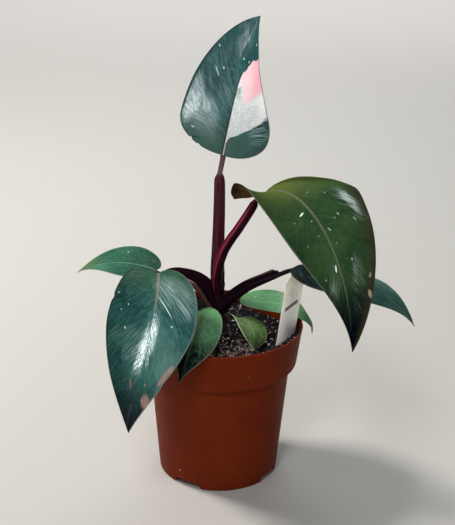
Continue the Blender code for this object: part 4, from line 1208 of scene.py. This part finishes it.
lumps = {
    "soilCrumbs": {
        "count": 900, "size": (0.6, 2.0), "flat": (0.5, 0.9), "sink": 0.1, "places": (),
        "skin": "soilCrumb", "low": (0.003, 0.003, 0.005), "high": (0.038, 0.028, 0.030),
        "scale": 900.0, "roughness": 0.9, "relief": 0.25,
    },
    "barkChips": {
        "count": 110, "size": (0.8, 2.6), "flat": (0.15, 0.35), "sink": 0.15, "places": (),
        "skin": "barkChip", "low": (0.020, 0.011, 0.009), "high": (0.22, 0.16, 0.14),
        "scale": 700.0, "roughness": 0.8, "relief": 0.2,
    },
    "perliteGrains": {
        "count": 26, "size": (0.5, 1.35), "flat": (0.7, 1.0), "sink": 0.25,
        "places": ((9.5, 19.0), (29.5, 7.0), (30.5, -1.0), (34.0, -8.5), (36.0, -12.0), (33.0, 5.5),
                   (38.0, -5.0)),
        "skin": "perliteGrain", "low": (0.55, 0.53, 0.50), "high": (0.80, 0.79, 0.76),
        "scale": 800.0, "roughness": 0.75, "relief": 0.15,
    },
}
strands = {
    "soilFibres": {
        "count": 150, "length": (5.0, 14.0), "size": (0.10, 0.20), "atHeart": 0.6,
        "skin": "coirFibre", "low": (0.10, 0.060, 0.040), "high": (0.70, 0.58, 0.46),
        "scale": 160.0, "roughness": 0.7, "relief": 0.03,
    },
    "coirShreds": {
        "count": 460, "length": (1.0, 4.0), "size": (0.18, 0.50), "atHeart": 0.7,
        "skin": "coirShred", "low": (0.020, 0.014, 0.014), "high": (0.74, 0.60, 0.52),
        "scale": 190.0, "roughness": 0.8, "relief": 0.05,
    },
}


# Smooth height of the soil: a mound at the stem and banks at the wall
def soilHeight(x, y):
    away = math.hypot(x - soil["stemPlace"][0], y - soil["stemPlace"][1])
    pitchX, pitchY = soil["ripplePitch"]
    height = soil["ripple"] * math.sin(x * pitchX + soil["rippleShift"]) * math.cos(y * pitchY)
    outward = max(0.0, (math.hypot(x, y) - soil["bankStart"]) / (pot["rimRadius"] - soil["bankStart"])) ** 2
    for azimuth, span, bank in soil["banks"]:
        apart = (math.degrees(math.atan2(y, x)) - azimuth + 180.0) % 360.0 - 180.0
        height += bank * math.exp(-(apart / span) ** 2) * outward
    return soil["level"] + soil["moundHeight"] * math.exp(-(away / soil["moundSpread"]) ** 2) + height


# The same with lumps, crumbs and grit
def roughSoil(x, y):
    lump = noise.noise(Vector((x, y, 3.0)) * soil["lumpScale"])
    crumb = noise.noise(Vector((x, y, 7.0)) * soil["crumbScale"])
    grit = noise.noise(Vector((x, y, 11.0)) * soil["gritScale"])
    return (soilHeight(x, y) + soil["lumpHeight"] * lump + soil["crumbHeight"] * abs(crumb)
            + soil["gritHeight"] * grit)


# Radius at which the soil meets the pot's wall
def soilEdge(azimuth):
    far = pot["rimRadius"]
    level = soilHeight(far * math.cos(azimuth), far * math.sin(azimuth))
    return innerRadius(level - soil["edgeDrop"]) - soil["gap"]


def makeSoilBlock(skin):
    segments, rings = soil["segments"], soil["rings"]
    points = [(0.0, 0.0, roughSoil(0.0, 0.0))]
    levels = [((k / rings) ** soil["ringSpacing"], None) for k in range(1, rings + 1)]
    for z in (pot["stepTop"] + soil["stepGap"], pot["stepBottom"] + soil["stepGap"], soil["floor"]):
        levels.append((innerRadius(z) - soil["gap"], z))
    for radius, height in levels:
        for i in range(segments):
            a = math.tau * i / segments
            out = radius if height else radius * soilEdge(a)
            x, y = out * math.cos(a), out * math.sin(a)
            points.append((x, y, height or roughSoil(x, y)))
    faces = [(0, 1 + i, 1 + (i + 1) % segments) for i in range(segments)]
    for start in range(1, 1 + (len(levels) - 1) * segments, segments):
        for i in range(segments):
            j = (i + 1) % segments
            faces.append((start + i, start + segments + i, start + segments + j, start + j))
    last = 1 + (len(levels) - 1) * segments
    faces.append(tuple(last + i for i in range(segments - 1, -1, -1)))
    addPiece("pottingSoil", points, faces, (skin,), ("soil",), smoothAngle=70)


def soilSkin():
    skin, tree, shader = newSkin("pottingSoil", 0.88, 0.08)
    place = objectPlace(tree)
    coarse, fine = grain(place, *soil["coarse"]), grain(place, *soil["fine"])
    colour = mixed(coarse.spread(*soil["brownBand"]), soil["dark"], soil["brown"])
    joinTo(mixed(fine.spread(*soil["gritBand"]), colour, soil["grit"]), shader, "Base Color")
    bumped(shader, coarse + fine * soil["fineRelief"], soil["relief"])
    return skin


def looseSkin(kind):
    skin, tree, shader = newSkin(kind["skin"], kind["roughness"], 0.10)
    place = objectPlace(tree)
    tone = grain(place, kind["scale"], 4.0).spread(*soil["looseBand"])
    joinTo(mixed(tone, kind["low"], kind["high"]), shader, "Base Color")
    bumped(shader, grain(place, kind["scale"] * 3.0), kind["relief"])
    return skin


# Joins many small shapes into one piece
def addLoose(name, kind, shapes):
    points, faces = [], []
    for shapePoints, shapeFaces in shapes:
        start = len(points)
        points += shapePoints
        faces += [tuple(start + c for c in face) for face in shapeFaces]
    addPiece(name, points, faces, (looseSkin(kind),))


# A lumpy grain as points and faces, from a small ball
def lumpShape(centre, size, stretch, turn, draw):
    ball = bmesh.new()
    bmesh.ops.create_icosphere(ball, subdivisions=1, radius=1.0)
    shift = Vector((draw.uniform(0, 50), draw.uniform(0, 50), draw.uniform(0, 50)))
    points = []
    for vert in ball.verts:
        swell = 1.0 + soil["lumpSwell"] * noise.noise(vert.co * soil["lumpPitch"] + shift)
        spot = turn @ Vector([part * factor for part, factor in zip(vert.co, stretch)]) * swell
        points.append(tuple(Vector(centre) + spot * size))
    faces = [tuple(v.index for v in face.verts) for face in ball.faces]
    ball.free()
    return points, faces


# A thin bent strand of four sides
def strandShape(spots, radius):
    points = []
    for i, spot in enumerate(spots):
        ahead = spots[min(i + 1, len(spots) - 1)] - spots[max(i - 1, 0)]
        across = ahead.cross(Vector((0.1, 0.2, 1.0))).normalized()
        up = across.cross(ahead).normalized()
        slim = radius * (soil["strandEnd"] if i in (0, len(spots) - 1) else 1.0)
        points += [tuple(spot + way * slim) for way in (across, up, -across, -up)]
    return points, tubeFaces(len(spots), 4)


# A random place on the soil, clear of the wall and of the stem
def soilSpot(draw):
    reach = innerRadius(soil["level"]) - soil["lumpWallGap"]
    stemX, stemY = soil["stemPlace"]
    while True:
        x, y = draw.uniform(-reach, reach), draw.uniform(-reach, reach)
        if math.hypot(x, y) < reach and math.hypot(x - stemX, y - stemY) > soil["stemClear"]:
            return x, y


# The first lumps lie where the photo shows them
def scatterLumps(name, kind, draw):
    shapes = []
    smallest, largest = kind["size"]
    for i in range(kind["count"]):
        placed = i < len(kind["places"])
        x, y = kind["places"][i] if placed else soilSpot(draw)
        size = smallest + (largest - smallest) * (1.0 if placed else draw.random() ** 2)
        stretch = (1.0, draw.uniform(0.6, 1.0), draw.uniform(*kind["flat"]))
        turn = Euler((draw.uniform(-0.5, 0.5), draw.uniform(-0.5, 0.5), draw.uniform(0, math.tau)))
        centre = (x, y, roughSoil(x, y) + size * kind["sink"])
        shapes.append(lumpShape(centre, size, stretch, turn.to_matrix(), draw))
    addLoose(name, kind, shapes)


# Strands lie over the soil, and most gather in front of the stem
def scatterStrands(name, kind, draw):
    shapes = []
    spans, wall = soil["strandSpans"], innerRadius(soil["level"])
    for _ in range(kind["count"]):
        x, y = soilSpot(draw)
        if draw.random() < kind["atHeart"]:
            near = [middle + draw.gauss(0, span) for middle, span in zip(soil["heart"], soil["heartSpread"])]
            if math.hypot(*near) < wall - soil["heartWallGap"]:
                x, y = near
        length = draw.uniform(*kind["length"])
        heading = draw.uniform(0, math.tau)
        bend = draw.uniform(-1.2, 1.2)
        lift = draw.uniform(-0.1, 0.09) * length
        spots = []
        for k in range(spans + 1):
            t = k / spans
            height = roughSoil(x, y) + soil["strandLift"] + lift * math.sin(math.pi * t)
            spots.append(Vector((x, y, height)))
            x += math.cos(heading + bend * t) * length / spans
            y += math.sin(heading + bend * t) * length / spans
            inward = min(1.0, (wall - soil["strandWallGap"]) / math.hypot(x, y))
            x, y = x * inward, y * inward
        shapes.append(strandShape(spots, draw.uniform(*kind["size"])))
    addLoose(name, kind, shapes)


soilDraw = random.Random(soil["seed"])
makeSoilBlock(soilSkin())
for looseName, looseKind in lumps.items():
    scatterLumps(looseName, looseKind, soilDraw)
for looseName, looseKind in strands.items():
    scatterStrands(looseName, looseKind, soilDraw)
print("soil filled")


# Stem: short, with rings where the leaves leave it

stem = {
    "place": (-2.8, 21.5), "bottom": 84.0, "top": 149.6, "footRadius": 5.3, "topRadius": 5.2,
    "footSlope": 4.0, "footShare": 0.72, "nodes": (119.0, 129.0, 139.0), "nodeSwell": 0.5,
    "nodeHalfHeight": 2.5, "nodeGroove": 0.18, "sides": 56, "rows": 150, "ribs": 11, "ribHeight": 0.06,
    "swellSharpness": 1.6, "grooveAbove": 0.9, "grooveSharpness": 5.0, "ribTwist": 0.02,
    "skin": (0.012, 0.004, 0.010), "scar": (0.030, 0.014, 0.012), "scarBand": (0.4, 0.7),
    "scarAbove": 2.0, "scarEdge": (0.9, 0.4), "scarStrength": 0.7, "patchScale": 220.0,
    "reliefScale": 500.0, "relief": 0.2,
}


def stemSkin():
    skin, tree, shader = newSkin("stemSkin", 0.38, 0.015)
    place = objectPlace(tree)
    height = parted(place)[2]
    rings = 0.0
    for node in stem["nodes"]:
        off = abs(height - (node + stem["scarAbove"]) * mm)
        rings = calc("MAXIMUM", rings, off.spread(*(edge * mm for edge in stem["scarEdge"])))
    patches = grain(place, stem["patchScale"], 4.0).spread(*stem["scarBand"])
    colour = mixed(patches, stem["skin"], stem["scar"])
    joinTo(mixed(rings * stem["scarStrength"], colour, stem["scar"]), shader, "Base Color")
    bumped(shader, grain(place, stem["reliefScale"], 4.0), stem["relief"])
    return skin


def makeStem():
    points = []
    x, y = stem["place"]
    for i in range(stem["rows"] + 1):
        share = i / stem["rows"]
        height = stem["bottom"] + (stem["top"] - stem["bottom"]) * share
        radius = stem["footRadius"] + (stem["topRadius"] - stem["footRadius"]) * share
        grown = (height - stem["bottom"]) / stem["footSlope"]
        radius *= min(1.0, stem["footShare"] + (1.0 - stem["footShare"]) * grown)
        for node in stem["nodes"]:
            off = (height - node) / stem["nodeHalfHeight"]
            radius += stem["nodeSwell"] * math.exp(-(off * stem["swellSharpness"]) ** 2)
            above = (off - stem["grooveAbove"]) * stem["grooveSharpness"]
            radius -= stem["nodeGroove"] * math.exp(-above ** 2)
        for k in range(stem["sides"]):
            a = math.tau * k / stem["sides"]
            ribbed = radius + stem["ribHeight"] * math.cos(a * stem["ribs"] + height * stem["ribTwist"])
            points.append((x + ribbed * math.cos(a), y + ribbed * math.sin(a), height))
    faces = tubeFaces(stem["rows"] + 1, stem["sides"])
    addPiece("mainStem", points, faces, (stemSkin(),), ("main_stem",), smoothAngle=60)


makeStem()
print("stem made")


# Label: a thin plastic strip with a plain stroke where a name would be

label = {
    "width": 21.3, "thickness": 0.8, "deep": 18.0, "height": 56.0, "turn": 50.0, "lean": 6.5,
    "foot": (41.0, -17.0, 107.0), "point": 12.0, "chamfer": 4.6, "chamferDrop": 6.0, "edgeRound": 0.18,
    # low is painted light: the strip's lower part is painted paler
    "skin": (0.86, 0.81, 0.68), "wornAndSheen": (0.74, 0.68, 0.54), "low": (0.92, 0.93, 0.90),
    "litLowerFrom": (44.0, 10.0), "soiled": (0.09, 0.055, 0.035), "soiledFrom": (4.0, -1.0),
    "glow": (1.0, 0.94, 0.80), "glowShare": 0.9, "glowDepth": 0.005,
    "strokeFrom": (-7.4, 27.7), "strokeTo": (7.2, 32.1), "strokeWidth": 1.9, "strokeEnd": 0.5,
    "strokeSoft": 0.65, "waver": 0.35, "waverPitch": 5.2, "ink": (0.050, 0.026, 0.024), "inkStrength": 0.97,
    "wornScale": 0.09, "wornBand": (0.35, 0.7), "soiledScale": 0.9, "soiledBand": (0.3, 0.6),
    "soiledStrength": 0.7, "reliefScale": 1.4, "relief": 0.03,
}


def labelOutline(inset):
    half, top, tip = label["width"] / 2 - inset, label["height"] - inset, inset - label["deep"]
    inner, lower, pointed = half - label["chamfer"], top - label["chamferDrop"], tip + label["point"]
    return [(0.0, tip), (half, pointed), (half, lower), (inner, top), (-inner, top), (-half, lower),
            (-half, pointed)]


def labelSkin():
    skin, tree, shader = newSkin("labelPlastic", 0.42, 0.5)
    shader.inputs["Subsurface Weight"].default_value = label["glowShare"]
    shader.inputs["Subsurface Radius"].default_value = label["glow"]
    shader.inputs["Subsurface Scale"].default_value = label["glowDepth"]
    where = attribute(tree, "labelPlace", "Vector")
    across, depth, up = parted(where)
    x0, z0 = label["strokeFrom"]
    x1, z1 = label["strokeTo"]
    reach, end = math.hypot(x1 - x0, z1 - z0), label["strokeEnd"]
    u, v = turnedPlace(across - x0, up - z0, math.atan2(z1 - z0, x1 - x0))
    near = abs(v + calc("SINE", u * label["waverPitch"]) * label["waver"])
    ink = near.spread(label["strokeWidth"], label["strokeWidth"] * label["strokeSoft"])
    ink = ink * (u.spread(0.0, end) * u.spread(reach, reach - end)) * calc("LESS_THAN", depth, 0.0)
    wornAndSheen = grain(where, label["wornScale"]).spread(*label["wornBand"])
    soiled = grain(where, label["soiledScale"]).spread(*label["soiledBand"])
    soiled = up.spread(*label["soiledFrom"]) * soiled * label["soiledStrength"]
    colour = mixed(wornAndSheen, label["skin"], label["wornAndSheen"])
    # Painted light: the lower part of the strip is painted paler, as if more light fell there
    colour = mixed(up.spread(*label["litLowerFrom"]), colour, label["low"])
    colour = mixed(soiled, colour, label["soiled"])
    joinTo(mixed(ink * label["inkStrength"], colour, label["ink"]), shader, "Base Color")
    bumped(shader, grain(where, label["reliefScale"]), label["relief"])
    return skin


def makeLabel():
    half, edge = label["thickness"] / 2, label["edgeRound"]
    rings = ((edge, half), (0.0, half - edge), (0.0, edge - half), (edge, -half))
    flat = [(x, depth, z) for inset, depth in rings for x, z in labelOutline(inset)]
    place = (Matrix.Translation(Vector(label["foot"])) @ Matrix.Rotation(math.radians(label["lean"]), 4, "Y")
             @ Matrix.Rotation(math.radians(label["turn"]), 4, "Z")
             @ Matrix.Translation(Vector((label["width"] / 2, 0.0, 0.0))))
    points = [tuple(place @ Vector(point)) for point in flat]
    faces = tubeFaces(len(rings), len(flat) // len(rings))
    piece = addPiece("plantLabel", points, faces, (labelSkin(),), ("plant_label",),
                     smoothAngle=35)
    addLayer(piece, "labelPlace", "FLOAT_VECTOR", "vector", flat)


makeLabel()
print("label made")


# Replaced nodes

for leafName, _, _, _ in leaves:
    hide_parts(leafName + "_blade")
    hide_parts(leafName + "_petiole")


# Floor, light and camera

view = {
    "focalPixels": 1200.0, "pictureHeight": 525.0, "sensor": 36.0, "target": (4.3, 0.0, 165.0),
    "distance": 872.0, "elevation": 21.4, "roll": 1.14, "clipStart": 0.01,
}
studio = {
    "floorReach": 9000.0, "floor": (0.53, 0.515, 0.493, 1.0), "middle": (0.0, 0.0, 0.17),
    "world": (0.86, 0.86, 0.84, 1.0), "worldStrength": 0.13, "farSpread": 80.0, "sheen": (0.94, 0.98, 1.0),
}
lamps = (
    # name, azimuth, elevation, distance m, size m, watts, colour, shows in
    ("windowKey", 156.0, 48.0, 1.5, (0.34, 0.34), 24.0, (1.0, 0.96, 0.90), "shade"),
    ("backSky", 88.0, 46.0, 1.4, (1.0, 0.5), 7.0, (0.90, 0.97, 1.0), "shade"),
    ("frontTop", -104.0, 46.0, 1.5, (0.35, 0.25), 7.5, (0.96, 0.98, 1.0), "shade"),
    ("frontFill", -80.0, 22.0, 1.8, (1.4, 1.0), 3.5, (1.0, 0.97, 0.94), "shade"),
    ("ribSheen", -137.0, 48.0, 1.5, (1.00, 0.80), 78.0, studio["sheen"], "gloss"),
    ("leftSheen", -143.0, 3.0, 1.2, (0.20, 0.26), 7.0, studio["sheen"], "gloss"),
    ("shoulderSheen", 64.0, 27.0, 1.4, (0.30, 0.26), 8.0, studio["sheen"], "gloss"),
    ("tipSheen", -164.0, -3.0, 1.2, (0.12, 0.12), 1.8, studio["sheen"], "gloss"),
    ("lobeSheen", 75.0, 66.0, 1.4, (0.80, 0.45), 9.0, studio["sheen"], "gloss"),
)
# These keep the floor pale to the top of the picture on every side, and don't reach the plant
farLamps = (
    # name, place m, size m, watts
    ("farFloor", (0.0, 2.3, 1.9), (3.0, 1.6), 21.0),
    ("farFloorBehind", (0.0, 6.0, 2.6), (5.0, 2.4), 50.0),
    ("farFloorFront", (0.0, -3.4, 1.9), (3.6, 2.6), 34.0),
    ("farFloorLeft", (-3.4, 0.0, 1.9), (2.6, 3.6), 34.0),
    ("farFloorRight", (3.4, 0.0, 1.9), (2.6, 3.6), 34.0),
)


def addLamp(name, place, size, watts):
    data = bpy.data.lights.new(name, "AREA")
    data.shape = "RECTANGLE"
    data.size, data.size_y = size
    data.energy = watts
    lamp = newObject(name, data)
    lamp.location = place
    lamp.visible_camera = False
    return lamp


far = studio["floorReach"]
floorCorners = [(-far, -far, 0), (far, -far, 0), (far, far, 0), (-far, far, 0)]
floor = newObject("floor", newMesh("floor", floorCorners, [(0, 1, 2, 3)]))
floorSkin, _, floorShader = newSkin("paleFloor", 0.9, 0.0)
floorShader.inputs["Base Color"].default_value = studio["floor"]
floor.data.materials.append(floorSkin)

for lampName, azimuth, elevation, away, size, watts, tint, shows in lamps:
    a, e = math.radians(azimuth), math.radians(elevation)
    towards = Vector((math.cos(a) * math.cos(e), math.sin(a) * math.cos(e), math.sin(e)))
    lamp = addLamp(lampName, Vector(studio["middle"]) + towards * away, size, watts)
    lamp.rotation_euler = towards.to_track_quat("Z", "Y").to_euler()
    lamp.data.color = tint
    lamp.visible_glossy = shows != "shade"
    lamp.visible_diffuse = shows != "gloss"
for lampName, place, size, watts in farLamps:
    lamp = addLamp(lampName, place, size, watts)
    lamp.data.spread = math.radians(studio["farSpread"])
    lamp.visible_glossy = False

world = bpy.data.worlds.new("studio")
world.use_nodes = True
world.node_tree.nodes["Background"].inputs["Color"].default_value = studio["world"]
world.node_tree.nodes["Background"].inputs["Strength"].default_value = studio["worldStrength"]
bpy.context.scene.world = world

cameraData = bpy.data.cameras.new("camera")
cameraData.sensor_width = view["sensor"]
cameraData.lens = view["focalPixels"] / view["pictureHeight"] * view["sensor"]
cameraData.clip_start = view["clipStart"]
camera = newObject("camera", cameraData)
tilt = math.radians(view["elevation"])
backward = Vector((0.0, -math.cos(tilt), math.sin(tilt)))
camera.location = (Vector(view["target"]) + backward * view["distance"]) * mm
camera.rotation_euler = (Euler((math.pi / 2 - tilt, 0, 0)).to_matrix()
                         @ Matrix.Rotation(math.radians(view["roll"]), 3, "Z")).to_euler()
bpy.context.scene.camera = camera
bpy.context.scene.view_settings.view_transform = "Standard"
print("stage, lamps and camera set")
